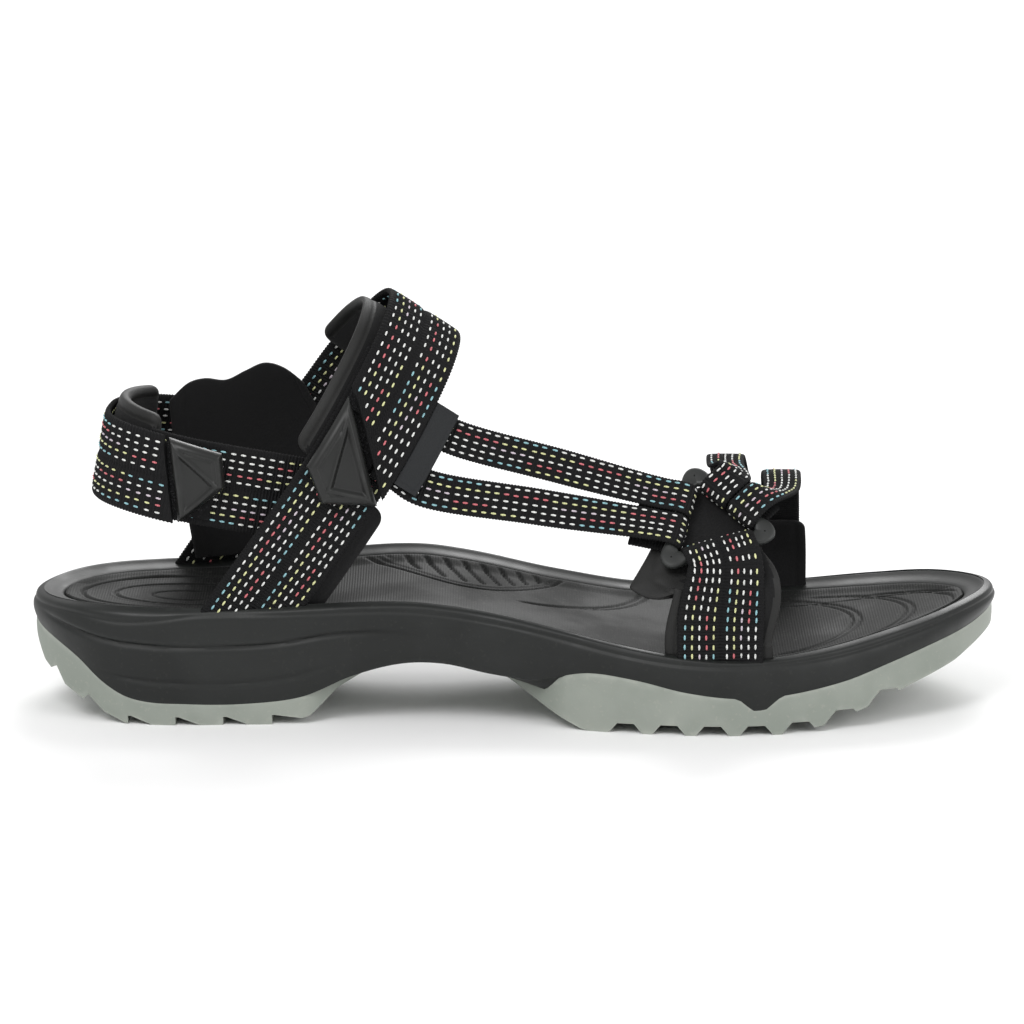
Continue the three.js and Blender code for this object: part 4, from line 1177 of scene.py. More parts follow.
def make_bands():
    """The bands that run to the ring, each a little narrower where it turns round a bar."""
    for side, band, seed in (("upper", upper_connector, 5), ("lower", lower_connector, 6)):
        near = [band.mm(share * band.steps) for share in (0.3, 0.42)]
        name = side + "_connector"
        squeeze = squeeze_between(*near, 1, RING_PINCH)
        strap = Strap(name + "_webbing", band, 0, band.length, seed, bands=1, squeeze=squeeze)
        strap_piece(name + "_strap", strap)
    squeeze = squeeze_between(fore_band.mm(6), fore_band.mm(11), 1, ring_strap_width / WEBBING_WIDTH)
    fore = Strap("lateral_fore_webbing", fore_band, 0, fore_band.length, 7, squeeze=squeeze)
    strap_piece("lateral_fore_strap", fore)
    for name, band, seed in (("toe_band_rear", toe_rear, 8), ("toe_band_front", toe_front, 9)):
        squeeze = squeeze_between(band.mm(18), band.mm(24), RING_PINCH, 1)
        strap_piece(name, Strap(name + "_webbing", band, 0, band.length, seed, bands=1, squeeze=squeeze))


# ---- Soft pads and linings -----------------------------------------------------------------------


PUFF_PRESSURE = 4.0
PUFF_FRAMES = 20


def puff(made, held, cap):
    """Swells a pad by cloth simulation. held marks the vertices that stay; cap is the most, in metres."""
    rest = coordinates(made.data).copy()
    keep = made.vertex_groups.new(name="held")
    keep.add(np.flatnonzero(held).tolist(), 1.0, "REPLACE")
    cloth_modifier = made.modifiers.new("Cloth", "CLOTH")
    settings = cloth_modifier.settings
    settings.vertex_group_mass = "held"
    settings.use_pressure = True
    settings.uniform_pressure_force = PUFF_PRESSURE
    settings.effector_weights.gravity = 0
    settings.quality = 4
    cloth_modifier.point_cache.frame_end = PUFF_FRAMES
    scene = bpy.context.scene
    for count in range(1, PUFF_FRAMES + 1):
        scene.frame_set(count)
    shown = made.evaluated_get(bpy.context.evaluated_depsgraph_get())
    moved = coordinates(shown.data) - rest
    made.modifiers.remove(cloth_modifier)
    made.vertex_groups.remove(keep)
    scene.frame_set(1)
    moved = np.nan_to_num(moved)
    size = np.linalg.norm(moved, axis=1, keepdims=True)
    moved *= cap * np.tanh(size / cap) / np.maximum(size, 1e-9)
    made.data.vertices.foreach_set("co", (rest + moved).ravel())
    made.data.update()


def finish_pad(made):
    """Rounds a pad with one subdivision."""
    modifier = made.modifiers.new("Subdivision", "SUBSURF")
    modifier.levels = modifier.render_levels = 1


OUTLINE_POINTS = 68
PAD_END_ROUND = 4.0
QUILT_DEPTH = 0.25
PAD_SHARP = math.radians(75)


def pad_on(name, cad_node, band, start, end, width, thickness, lift, aside=0, material=LINING, roll=0.0,
           stretch=None, floor=None):
    """A padded piece on a ribbon: rolled edges, rounded ends, and a soft face towards the foot.

    roll is how far the rolled edge stands out on the foot's side. aside may be a function of the place
    along the ribbon, as stretch is."""
    stations = int(abs(end - start) / 0.9)
    half, middle = width / 2, thickness / 2
    turn = np.linspace(0, math.tau, OUTLINE_POINTS, endpoint=False) - math.pi / 2
    outline = np.stack((half * squared(np.cos(turn), 0.55), middle * (1 + squared(np.sin(turn), 0.6))), 1)

    def shape(along, a, h):
        from_end = np.minimum(abs(along - start), abs(end - along))
        tip = rounding_off(from_end, PAD_END_ROUND, 0.02)
        a = a * mix(1, tip, 0.35) * (stretch(along) if stretch else 1)
        side = np.sign(h - middle)
        seam = ridge(abs(a) - half + 2.9, 0.55)
        h = middle + (h - middle) * mix(1, tip, 0.75) - side * QUILT_DEPTH * seam
        bulge = ridge(abs(a) - half + 1.4, 1.2)
        return a + (aside(along) if callable(aside) else aside), lift + h + side * roll * bulge * (side < 0)

    mesh = ribbon_solid(name, band, start, end, stations, outline, shape)
    if floor is not None:
        edit(mesh, cut_level(floor), close_holes)
    return piece(name, mesh, material, replaces=[cad_node], sharp=PAD_SHARP)


def on_line(band, spot):
    """The row of a ribbon's table that lies nearest to a spot."""
    line = band.table[::6]
    return line[((spot - line[:, :3]) ** 2).sum(1).argmin()]


def outer_half(made, band, lift):
    """Marks the vertices on a pad's strap side, above lift, which are sewn down."""
    spots = in_shoe(coordinates(made.data))
    nearest = np.array([on_line(band, spot) for spot in spots])
    return ((spots - nearest[:, :3]) * nearest[:, 6:9]).sum(1) > lift


def line_inside(made, band, aside, half):
    """Gives a pad's middle, between its rolled edges, the knitted lining."""
    made.data.materials.append(LINING)
    for face in made.data.polygons:
        spot = in_shoe(face.center)
        nearest = on_line(band, spot)
        face.material_index = int(abs((spot - nearest[:3]).dot(nearest[3:6]) - aside) < half)


# How wide the rolled edge of a pad is, and how much the fore lining flares and leans behind the ring.
ROLL_WIDTH = 3.4
INSTEP_PAD_WIDTH, HEEL_PAD_WIDTH = WEBBING_WIDTH + 6, WEBBING_WIDTH + 3
HEEL_PAD_START, HEEL_PAD_END = 47, 100
FORE_SHARES = (0, 0.4, 0.5, 0.6, 0.72, 1)
FORE_FLARE = (1, 1, 1.1, 1.3, 1.05, 0.3)
FORE_LEAN = (0, -0.8, -3.2, -7.5, -4, 0)


def make_pads():
    """The two swelled pads and the three thin linings."""
    instep = pad_on(
        "instep_pad_soft", "instep_pad", hoop, HOOP_ROOT + PAD_START, HOOP_ROOT + PAD_END, INSTEP_PAD_WIDTH,
        PAD_THICKNESS, 0, aside=-1.5, material=PIPING, roll=0.3,
    )
    line_inside(instep, hoop, -1.5, INSTEP_PAD_WIDTH / 2 - ROLL_WIDTH)
    puff(instep, outer_half(instep, hoop, 1.2), 0.001)
    back = pad_on(
        "heel_back_pad_soft", "heel_back_pad", heel_loop, HEEL_PAD_START, HEEL_PAD_END, HEEL_PAD_WIDTH,
        HEEL_PAD_THICKNESS, -HEEL_PAD_THICKNESS - CLEARANCE, aside=2, material=PIPING, roll=0.4,
    )
    line_inside(back, heel_loop, 2, HEEL_PAD_WIDTH / 2 - ROLL_WIDTH)
    puff(back, outer_half(back, heel_loop, -2.5), 0.0016)
    for made in (instep, back):
        finish_pad(made)
    rear = pad_on(
        "lateral_rear_lining_soft", "lateral_rear_lining", hoop, 0, HOOP_ROOT + PAD_START - 1.5,
        WEBBING_WIDTH + 2, LINING_THICKNESS, 0, aside=3.5, floor=lateral_floor,
    )
    length = fore_lining_band.length
    fore = pad_on(
        "lateral_fore_lining_soft", "lateral_fore_lining", fore_lining_band, 0, length, INSTEP_PAD_WIDTH,
        LINING_THICKNESS, -LINING_THICKNESS, material=PIPING, roll=0.3,
        aside=lambda along: np.interp(along / length, FORE_SHARES, FORE_LEAN),
        stretch=lambda along: np.interp(along / length, FORE_SHARES, FORE_FLARE),
    )
    line_inside(fore, fore_lining_band, 0, WEBBING_WIDTH / 2)
    medial = pad_on(
        "medial_fore_lining_soft", "medial_fore_lining", medial_lining_band, 0, medial_lining_band.mm(8),
        MEDIAL_LINING_WIDTH, LINING_THICKNESS, MEDIAL_LINING_LIFT,
    )
    for made in (rear, fore, medial):
        finish_pad(made)


# ---- Medial collar pad ---------------------------------------------------------------------------

collar_rear = profile([(0, 44), (0.25, 42.5), (0.6, 39), (1, 37.2)])
collar_front = profile([(0, 70), (0.3, 80), (0.6, 84), (1, 76)])
collar_top = profile([
    (0, 80.5), (0.14, 85.5), (0.26, 86.8), (0.42, 86.3), (0.56, 89), (0.7, 91.4), (0.84, 90), (1, 85),
])
hoop_side = profile([
    (height, mix(lateral_foot[1], medial_foot[1], share)) for share, height in ARCH[:7:-1]
])
COLLAR_BEND = 0.012
COLLAR_BEND_FROM = 52
COLLAR_AROUND = 60
COLLAR_ALONG = 88
COLLAR_EDGE = 2.2


def make_collar():
    """The scalloped pad inside the medial side of the ankle opening."""
    turn = np.linspace(0, math.tau, COLLAR_AROUND, endpoint=False)
    level_at = 0.5 - 0.5 * squared(np.cos(turn), 0.8)
    depth_at = 0.5 + 0.5 * squared(np.sin(turn), 0.35)

    def place(u, v):
        index = np.rint(v * COLLAR_AROUND).astype(int) % COLLAR_AROUND
        level, depth = level_at[index], depth_at[index]
        along = np.clip(u, 0, 1)
        x = mix(collar_rear(level), collar_front(level), along)
        bottom = rim_top(x / SOLE_LENGTH, 1) + 2 * CLEARANCE
        z = mix(bottom, collar_top(along), level)
        rel_x, rel_z = x - medial_foot[0], z - medial_foot[2]
        height = rel_x * instep_up[0] + rel_z * instep_up[2]
        lean = rel_x * instep_across[0] + rel_z * instep_across[2]
        outer = hoop_side(np.maximum(0, height)) + instep_across[1] * lean - 2 * CLEARANCE
        outer = outer - COLLAR_BEND * np.maximum(0, COLLAR_BEND_FROM - x) ** 2
        from_end = np.minimum(along, 1 - along) * (collar_front(level) - collar_rear(level))
        inset = COLLAR_THICKNESS * (0.5 + (depth - 0.5) * rounding_off(from_end, COLLAR_EDGE, 0.03))
        seam = 0.35 * ridge(from_end - 4, 0.7) * (depth > 0.6)
        return rows(x, outer - inset + seam, z)

    mesh = bent_grid("medial_collar_soft", COLLAR_ALONG, COLLAR_AROUND, place, spread=(60, 110))
    edit(mesh, weld, close_holes, face_out)
    made = piece(
        "medial_collar_soft", mesh, LINING, replaces=["medial_collar_pad"], sharp=PAD_SHARP
    )
    finish_pad(made)


# ---- Hook and loop tapes, tabs and label ---------------------------------------------------------


def make_tape(name, cad_node, band, start, end, width, aside, lift, material, body):
    """One half of a fastener, with an uneven nap."""

    def shape(along, a, h):
        return a + aside, h + 0.05 * np.sin(along * 7.1) * np.sin(a * 6.3) + lift

    outline = section(width, PATCH_THICKNESS, 24, 24, arc=2)
    mesh = ribbon_solid(name, band, start, end, int((end - start) * 2), outline, shape)
    piece(name, mesh, material, body=body, replaces=[cad_node])


def make_tapes():
    instep = (HOOP_ROOT + BASE_END - 2, WEBBING_WIDTH - 8, -3)
    heel = (47, WEBBING_WIDTH - 4, 0)
    loop_start, hook_start = HOOP_ROOT + 48, HOOP_ROOT + 60
    make_tape("instep_loop_tape", "instep_loop_patch", hoop, loop_start, *instep, LOOP_LIFT, LOOPS, "root")
    make_tape(
        "instep_hook_tape", "instep_hook_patch", hoop, hook_start, *instep, HOOK_LIFT, HOOKS, "instep_flap"
    )
    make_tape("heel_loop_tape", "heel_loop_patch", heel_loop, 28, *heel, HEEL_LOOP_LIFT, LOOPS, "root")
    make_tape("heel_hook_tape", "heel_hook_patch", heel_loop, 36, *heel, HEEL_HOOK_LIFT, HOOKS, "heel_flap")


def edge_distance(corners, along, aside):
    """How far inside an outline of three or four corners a place on a ribbon lies, from its nearest side."""
    corners = np.array(corners, float)
    after = np.roll(corners, -1, axis=0)
    area = np.cross(corners - corners.mean(0), after - corners.mean(0)).sum()
    nearest = np.full(np.shape(along), 1e9)
    for (a0, b0), (a1, b1) in zip(corners, after):
        run = math.hypot(a1 - a0, b1 - b0)
        distance = ((a1 - a0) * (aside - b0) - (b1 - b0) * (along - a0)) / run * math.copysign(1, area)
        nearest = np.minimum(nearest, distance)
    return nearest


TAB_GRID = 70
TAB_ROUND = 2.2
TRIANGLE_DEPTH = 0.9


def make_tab(name, cad_node, band, corners, triangle, lift, body):
    """A moulded pull tab with rounded rims and a sunken triangle."""
    corners = np.array(corners, float)

    def place(u, v):
        start = mix(corners[0], corners[1], u[:, None])
        end = mix(corners[3], corners[2], u[:, None])
        along, aside = mix(start, end, v[:, None]).T
        inside = edge_distance(corners, along, aside)
        height = np.maximum(TAB_THICKNESS * rounding_off(inside, TAB_ROUND), 0.5)
        sunken = edge_distance(triangle, along, aside)
        height = height - TRIANGLE_DEPTH * smooth(-0.25, 0.9, sunken) + 0.28 * ridge(sunken + 0.6, 0.45)
        height = height - 0.25 * ridge(inside - 2.6, 0.35) * (sunken < -1.2)
        return band.at(along, aside, lift + height)

    mesh = bent_grid(name, TAB_GRID, TAB_GRID, place, spread=(20, 20))

    def add_wall(bm):
        """Draws the rim down to the strap."""
        rim = [edge for edge in bm.edges if edge.is_boundary]
        made = bmesh.ops.extrude_edge_only(bm, edges=rim)["geom"]
        for vertex in (element for element in made if isinstance(element, bmesh.types.BMVert)):
            nearest = ((band.table[:, :3] - in_shoe(vertex.co)) ** 2).sum(1).argmin()
            vertex.co -= Vector(band.table[nearest, 6:9]) * 0.5 * MM

    edit(mesh, add_wall, close_holes, face_out)
    piece(name, mesh, TAB, body=body, replaces=[cad_node])


# Corners of the sunken triangles, as (along, aside).
INSTEP_TRIANGLE = [(55.5, -7.6), (43.8, 7.2), (40.6, -2.4)]
HEEL_TRIANGLE = [(38.2, 7.6), (34.6, -8.2), (28.4, 0.4)]


def above_root(pairs):
    return [(HOOP_ROOT + along, aside) for along, aside in pairs]


def make_tabs():
    corners, triangle = above_root(TAB_BASE + TAB_TIP), above_root(INSTEP_TRIANGLE)
    make_tab("instep_pull_tab", "instep_tab", hoop, corners, triangle, FLAP_LIFT, "instep_flap")
    make_tab("heel_pull_tab", "heel_tab", heel_loop, HEEL_TAB, HEEL_TRIANGLE, HEEL_FLAP_LIFT, "heel_flap")


LABEL_START, LABEL_END = HOOP_ROOT + 50, HOOP_ROOT + 73
LABEL_OVERLAP = 0.3
HEM = 0.9
HEM_STITCH = 0.2


def make_label():
    """The plain woven side label with a stitched hem."""
    outline = section(LABEL_WIDTH + LABEL_OVERLAP, LABEL_THICKNESS, 22, 6, arc=4)
    centre = WEBBING_WIDTH / 2 + CLEARANCE + LABEL_WIDTH / 2 - LABEL_OVERLAP / 2

    def shape(along, aside, lift):
        from_end = np.minimum(along - LABEL_START, LABEL_END - along)
        hem = np.maximum(
            ridge(abs(aside) - LABEL_WIDTH / 2 + HEM, HEM_STITCH), ridge(from_end - HEM, HEM_STITCH)
        )
        return centre + aside, FLAP_LIFT + lift - 0.12 * hem * (lift > LABEL_THICKNESS / 2)

    mesh = ribbon_solid("side_label_cloth", hoop, LABEL_START, LABEL_END, 90, outline, shape)
    piece("side_label_cloth", mesh, LABEL, replaces=["side_label"])


# ---- Ring ----------------------------------------------------------------------------------------


RING_CORNER = 4.0
RING_AROUND = 20


def make_ring():
    """The triangular ring: slim bars under the straps, and a flat rounded plate at each corner."""
    corners = [top_corner, rear_corner, front_corner]
    share = RING_CORNER / ring_side
    line = []
    for i, corner in enumerate(corners):
        after, later = corners[(i + 1) % 3], corners[(i + 2) % 3]
        leave, arrive, turned = mix(corner, after, share), mix(after, corner, share), mix(after, later, share)
        line += [mix(leave, arrive, t) for t in np.linspace(0, 1, 40, endpoint=False)]
        line += [
            (1 - t) ** 2 * arrive + 2 * t * (1 - t) * after + t * t * turned
            for t in np.linspace(0, 1, 16, endpoint=False)
        ]
    line = np.array(line)
    count = len(line)
    tangent = unit(np.roll(line, -1, axis=0) - np.roll(line, 1, axis=0))
    outward = unit(np.cross(tangent, ring_normal))
    near = np.min([np.linalg.norm(line - corner, axis=1) for corner in corners], axis=0)
    heavy = 1 - smooth(3.6, 7.0, near)

    def place(u, v):
        i = np.rint(u * count).astype(int) % count
        turn = np.rint(v * RING_AROUND) % RING_AROUND / RING_AROUND * math.tau
        wide = RING_RADIUS + 1.1 * heavy[i]
        high = RING_RADIUS - 0.5 * heavy[i]
        across, up = (squared(wave, 1 - 0.5 * heavy[i]) for wave in (np.cos(turn), np.sin(turn)))
        return (
            line[i]
            + outward[i] * (across * wide - 0.7 * heavy[i])[:, None]
            + ring_normal * (up * high)[:, None]
        )

    mesh = bent_grid("fore_ring_smooth", count, RING_AROUND, place)
    edit(mesh, weld, face_out)
    piece("fore_ring_smooth", mesh, RING, replaces=["fore_ring"])


# ---- Sole ----------------------------------------------------------------------------------------

JOINT_INSET = 1.0
AROUND = 420


def swept_round(name, ring_rows):
    """A solid made of closed rings round the plan, from the first row's pole to the last row's pole.

    ring_rows is a list of functions of (p, q) on the unit circle that give x, y and z."""
    count = len(ring_rows) - 1

    def place(u, v):
        turn = u * math.tau
        p, q = -np.cos(turn), np.sin(turn)
        row = np.rint(v * count).astype(int)
        spots = np.empty((len(u), 3))
        for i, ring in enumerate(ring_rows):
            chosen = row == i
            spots[chosen] = rows(*ring(p[chosen], q[chosen]))
        return spots

    mesh = bent_grid(name, AROUND, count, place, spread=(700, 60))
    edit(mesh, weld, face_out)
    return mesh


# The rubber is narrower under the arch, and stays a hair below the foam.
WAIST_CUT = 0.42
JOINT_GAP = 0.05
WALL_BULGE = 0.15


def outsole_ring(share, level):
    """A ring of the outsole: level is 0 on its top, 1 on its underside and between them on its wall."""
    inset = JOINT_INSET - WALL_BULGE * math.sin(math.pi * level) if 0 < level < 1 else JOINT_INSET

    def ring(p, q):
        p, q = p * share, q * share
        q = q * (1 - WAIST_CUT * arch_share(plan(p, q, inset)[2]))
        x, y, s = plan(p, q, inset)
        return x, y, mix(joint_height(s, p * p + q * q) - JOINT_GAP, underside(s), level)

    return ring


HEEL_TOOTH = 2.3
HEEL_WALLS = (26.8, 40.1, 53.2)
HEEL_NOTCHES = ((5.8, 10.2), (15.3, 21.4))
FORE_GROOVES = [164 + 12 * i for i in range(7)]
TREAD_SIDE = 60


def lug_cutters():
    """Wedges and channels that cut the tread: saw teeth under the heel, pointed lugs under the ball."""
    bm = bmesh.new()

    def prism(outline, y_from, y_to, skew=0.0):
        """A bar across the shoe; outline holds (x, z) and skew moves its middle along x."""
        ends = [(y_from, 0.0), ((y_from + y_to) / 2, skew), (y_to, 0.0)]
        loops = []
        for y, shift in ends:
            loops.append([bm.verts.new(in_frame([(x + shift, y, z)])[0]) for x, z in outline])
        for near, far in zip(loops, loops[1:]):
            edges = []
            for loop in (near, far):
                for a, b in zip(loop, loop[1:] + loop[:1]):
                    edges.append(bm.edges.get((a, b)) or bm.edges.new((a, b)))
            bmesh.ops.bridge_loops(bm, edges=edges)
        for loop in (loops[0], loops[-1]):
            bm.faces.new(loop)

    for wall in HEEL_WALLS:
        tooth = [(wall, -1), (wall + 7, -1), (wall + 7, -0.05), (wall + 0.9, HEEL_TOOTH), (wall, HEEL_TOOTH)]
        prism(tooth, -TREAD_SIDE, TREAD_SIDE, skew=3)
    last = [(66.6, -1), (80.6, -1), (79.7, 5.4), (79.2, 3.0), (75, 1.7), (67.5, 2.7), (66.6, 2.7)]
    prism(last, -TREAD_SIDE, TREAD_SIDE, skew=3)
    for start, end in HEEL_NOTCHES:
        high, low = (np.array((x, float(underside(x / SOLE_LENGTH)))) for x in (start, end))
        inward = np.array((high[1] - low[1], low[0] - high[0]))
        inward = inward / np.linalg.norm(inward)
        notch_outline = [high - inward, high + inward * 2 + (low - high) * 0.15, low, low - inward]
        prism(notch_outline, -TREAD_SIDE, TREAD_SIDE)
    for middle in FORE_GROOVES:
        ground = float(underside(middle / SOLE_LENGTH))
        low, high = ground - FORE_LUG_DEPTH, ground + FORE_LUG_DEPTH
        outline = [
            (middle - 6.4, low), (middle + 6.4, low), (middle + 4.6, ground), (middle + 2.3, high),
            (middle - 2.3, high), (middle - 4.6, ground),
        ]
        prism(outline, -4, TREAD_SIDE, skew=2)
        prism(outline, -TREAD_SIDE, -4, skew=2)
    bmesh.ops.recalc_face_normals(bm, faces=bm.faces)
    mesh = bpy.data.meshes.new("tread_cutters")
    bm.to_mesh(mesh)
    bm.free()
    return mesh


def cut_with(made, cutter_mesh):
    """Subtracts a mesh from a piece and leaves no modifier on it."""
    cutter = bpy.data.objects.new("cutter", cutter_mesh)
    bpy.context.scene.collection.objects.link(cutter)
    modifier = made.modifiers.new("Cut", "BOOLEAN")
    modifier.operation = "DIFFERENCE"
    modifier.solver = "EXACT"
    modifier.use_self = True
    modifier.object = cutter
    bpy.context.view_layer.update()
    shown = made.evaluated_get(bpy.context.evaluated_depsgraph_get())
    result = bpy.data.meshes.new_from_object(shown)
    made.modifiers.remove(modifier)
    old = made.data
    made.data = result
    result.name = old.name
    bpy.data.meshes.remove(old)
    bpy.data.objects.remove(cutter)
    bpy.data.meshes.remove(cutter_mesh)
    result.set_sharp_from_angle(angle=SHARP)


def make_outsole():
    """The rubber: rings over its top, down its wall and under it, then the tread cut out of it."""
    top = (0.0, 0.3, 0.6, 0.78, 0.82, 0.86, 0.9, 0.94, 0.97, 0.99, 1.0)
    wall = (0.06, 0.2, 0.4, 0.6, 0.8, 0.94)
    under = (1.0, 0.992, 0.98, 0.95, 0.9, 0.8, 0.65, 0.5, 0.35, 0.2, 0.0)
    rings = [outsole_ring(share, 0) for share in top]
    rings += [outsole_ring(1.0, level) for level in wall]
    rings += [outsole_ring(share, 1) for share in under]
    mesh = swept_round("outsole_tread", rings)
    made = piece("outsole_tread", mesh, OUTSOLE, replaces=["outsole"])
    cut_with(made, lug_cutters())


# Sculpted lines on the foam's side, as (x, height).
UPPER_LINE = profile([
    (4, 28), (21, 23.7), (33, 22.5), (51, 22), (69, 22.8), (84, 25.1), (96, 25.6), (112, 24),
])
LOWER_LINE = profile([(22, 14.2), (25, 13.5), (36, 12.3), (57, 11.7), (74, 13.6), (88, 18)])
CREASE = profile([
    (0, 29.4), (12, 30), (27, 28.8), (48, 30.8), (70, 30.9), (104, 31.5), (130, 28.4), (180, 19.8),
    (219, 20.6), (258, 28), (270, 30),
])


def side_sculpting(x, z):
    """How far the foam's side stands out at a place along and up it."""
    above = z - UPPER_LINE(x)
    out = 0.35 * smooth(0, 0.8, above) * smooth(2, 12, x) * (1 - smooth(92, 112, x))
    out = out - 0.55 * ridge(above, 0.8) * smooth(2, 12, x) * (1 - smooth(88, 108, x))
    out = out - 0.5 * ridge(z - LOWER_LINE(x), 0.7) * smooth(20, 27, x) * (1 - smooth(72, 86, x))
    out = out - 0.3 * ridge(z - CREASE(x), 0.55)
    return out - 1.1 * ridge(x - 112, 34) * ridge(z - 24, 5.0)


WALL_TOP_INSET = 1.6
FOAM_BULGE = 1.2


def wall_ring(level):
    """A ring of the foam's outer side; level runs from 0 at the rubber to 1 at the rim."""

    def ring(p, q):
        _, _, s = plan(p, q, JOINT_INSET)
        inset = mix(JOINT_INSET, WALL_TOP_INSET, level) - math.sin(math.pi * level) * FOAM_BULGE
        z = mix(joint_height(s, p * p + q * q), rim_top(s, q), level)
        roll = 1.5 * max(0.0, (level - 0.9) / 0.1) ** 2.2
        x = plan(p, q, inset)[0]
        out = side_sculpting(x, z) * smooth(0, 0.06, level) * (1 - smooth(0.93, 1, level))
        x, y, _ = plan(p, q, inset - out + roll)
        return x, y, z

    return ring


def rim_ring(inset, drop):
    """A ring on the foam's rim, moved in from the edge and down from the rim's top."""

    def ring(p, q):
        x, y, s = plan(p, q, inset)
        return x, y, rim_top(s, q) - drop

    return ring


def pocket_ring(share, below):
    """A ring of the pocket that the footbed lies in."""

    def ring(p, q):
        p, q = p * share, q * share
        x, y, s = plan(p, q, RIM_WIDTH - 0.15)
        return x, y, footbed_top(p, q, s) - below

    return ring


def foam_under_ring(share):
    def ring(p, q):
        p, q = p * share, q * share
        x, y, s = plan(p, q, JOINT_INSET)
        return x, y, joint_height(s, p * p + q * q)

    return ring


SLOT_GAP = 0.12
SLOT_REACH = 22


def strap_slots():
    """The slots in the rim that the straps go down into."""
    band_lift = straight(-BAND_THICKNESS / 2)
    hoop_end = HOOP_ROOT + SLOT_REACH
    fore_end = fore_band.mm(5)
    medial_end = medial_lining_band.mm(5)
    slots = [
        (hoop, 0, hoop_end, WEBBING_WIDTH, WEBBING_THICKNESS, lateral_lift, 0, lateral_floor),
        (hoop, 0, hoop_end, WEBBING_WIDTH + 2, LINING_THICKNESS, straight(0), 3.5, lateral_floor),
        (hoop, hoop.length - hoop_end, hoop.length, WEBBING_WIDTH, WEBBING_THICKNESS, straight(0), 0,
         medial_floor),
        (fore_band, -0.5, fore_end, WEBBING_WIDTH, BAND_THICKNESS, band_lift, 0, 0),
        (fore_band, -0.5, fore_end, WEBBING_WIDTH + 6, LINING_THICKNESS,
         straight(-BAND_THICKNESS / 2 - CLEARANCE - LINING_THICKNESS), 0, 0),
        (medial_lining_band, -0.5, medial_end, MEDIAL_LINING_WIDTH, LINING_THICKNESS,
         straight(MEDIAL_LINING_LIFT), 0, 0),
    ]
    for band in (toe_rear, toe_front):
        start, end = band.mm(band.steps - 5), band.length + 0.5
        slots.append((band, start, end, BAND_WIDTH, BAND_THICKNESS, band_lift, 0, 0))
    whole = bmesh.new()
    for band, start, end, width, thickness, lift, aside, floor in slots:
        outline = section(width + 2 * SLOT_GAP, thickness + 2 * SLOT_GAP, 2, 2, radius=0.5, arc=2)

        def shape(along, a, h, lift=lift, aside=aside):
            return a + aside, lift(along) + h - SLOT_GAP

        mesh = ribbon_solid("slot", band, start, end, 14, outline, shape)
        if floor:
            edit(mesh, cut_level(floor - SLOT_GAP), close_holes)
        whole.from_mesh(mesh)
        bpy.data.meshes.remove(mesh)
    result = bpy.data.meshes.new("strap_slots")
    whole.to_mesh(result)
    whole.free()
    return result


def make_midsole():
    """The foam: rings from the pocket's floor up over the rim, down the side and under it."""
    rim = (
        (8.5, 2.15), (8.0, 1.8), (7.2, 1.5), (6.2, 1.25), (5.2, 0.95), (4.4, 0.6), (3.8, 0.25), (3.4, 0.05),
        (3.1, 0.0),
    )
    wall = np.concatenate((np.linspace(1, 0.9, 8), np.linspace(0.885, 0.04, 48), (0.02, 0.0)))
    under = (0.985, 0.96, 0.92, 0.88, 0.82, 0.76, 0.6, 0.4, 0.2, 0.0)
    rings = [pocket_ring(share, FOOTBED_THICKNESS + CLEARANCE) for share in (0.0, 0.3, 0.6, 0.85, 1.0)]
    rings += [pocket_ring(1.0, below) for below in (2.5, 1.0, 0.3)]
    rings += [rim_ring(inset, drop) for inset, drop in rim]
    rings += [wall_ring(level) for level in wall]
    rings += [foam_under_ring(share) for share in under]
    mesh = swept_round("midsole_sculpted", rings)
    made = piece("midsole_sculpted", mesh, MIDSOLE, replaces=["midsole"])
    cut_with(made, strap_slots())


def ellipse_distance(x, y, middle, size):
    """Signed distance, roughly, to an ellipse's line."""
    (mx, my), (a, b) = middle, size
    r = np.sqrt(((x - mx) / a) ** 2 + ((y - my) / b) ** 2)
    slope = np.sqrt(((x - mx) / a**2) ** 2 + ((y - my) / b**2) ** 2) / np.maximum(r, 1e-6)
    return (r - 1) / np.maximum(slope, 1e-6)


def groove(distance, half_width, depth):
    return -depth * ridge(distance, half_width)


# The arch insert's edge and the long line towards the toe, as y at a place along the shoe.
ARCH_EDGE = profile([(84, 29), (98, 17), (110, 7), (120, 3), (130, 5), (140, 14), (150, 28)])
TOE_LINE = profile([(182, 27), (200, 25.5), (220, 24), (240, 21), (256, 14)])
ARCH_RIB_PITCH = 5.4
ARCH_RIB_SLANT = 0.45
# Ellipses of the pattern, each as its middle and its half sizes.
HEEL_RINGS = (((43, 0), (29, 19.5)), ((44, 0), (21, 12.5)))
BALL_ARC = ((128, 44), (47, 46))
TOE_ARCS = ((196, (36, 33)), (210, (37, 31)), (227, (33, 24)))
# The arcs of the forefoot are double lines, so far apart.
DOUBLE_LINE = 2.3


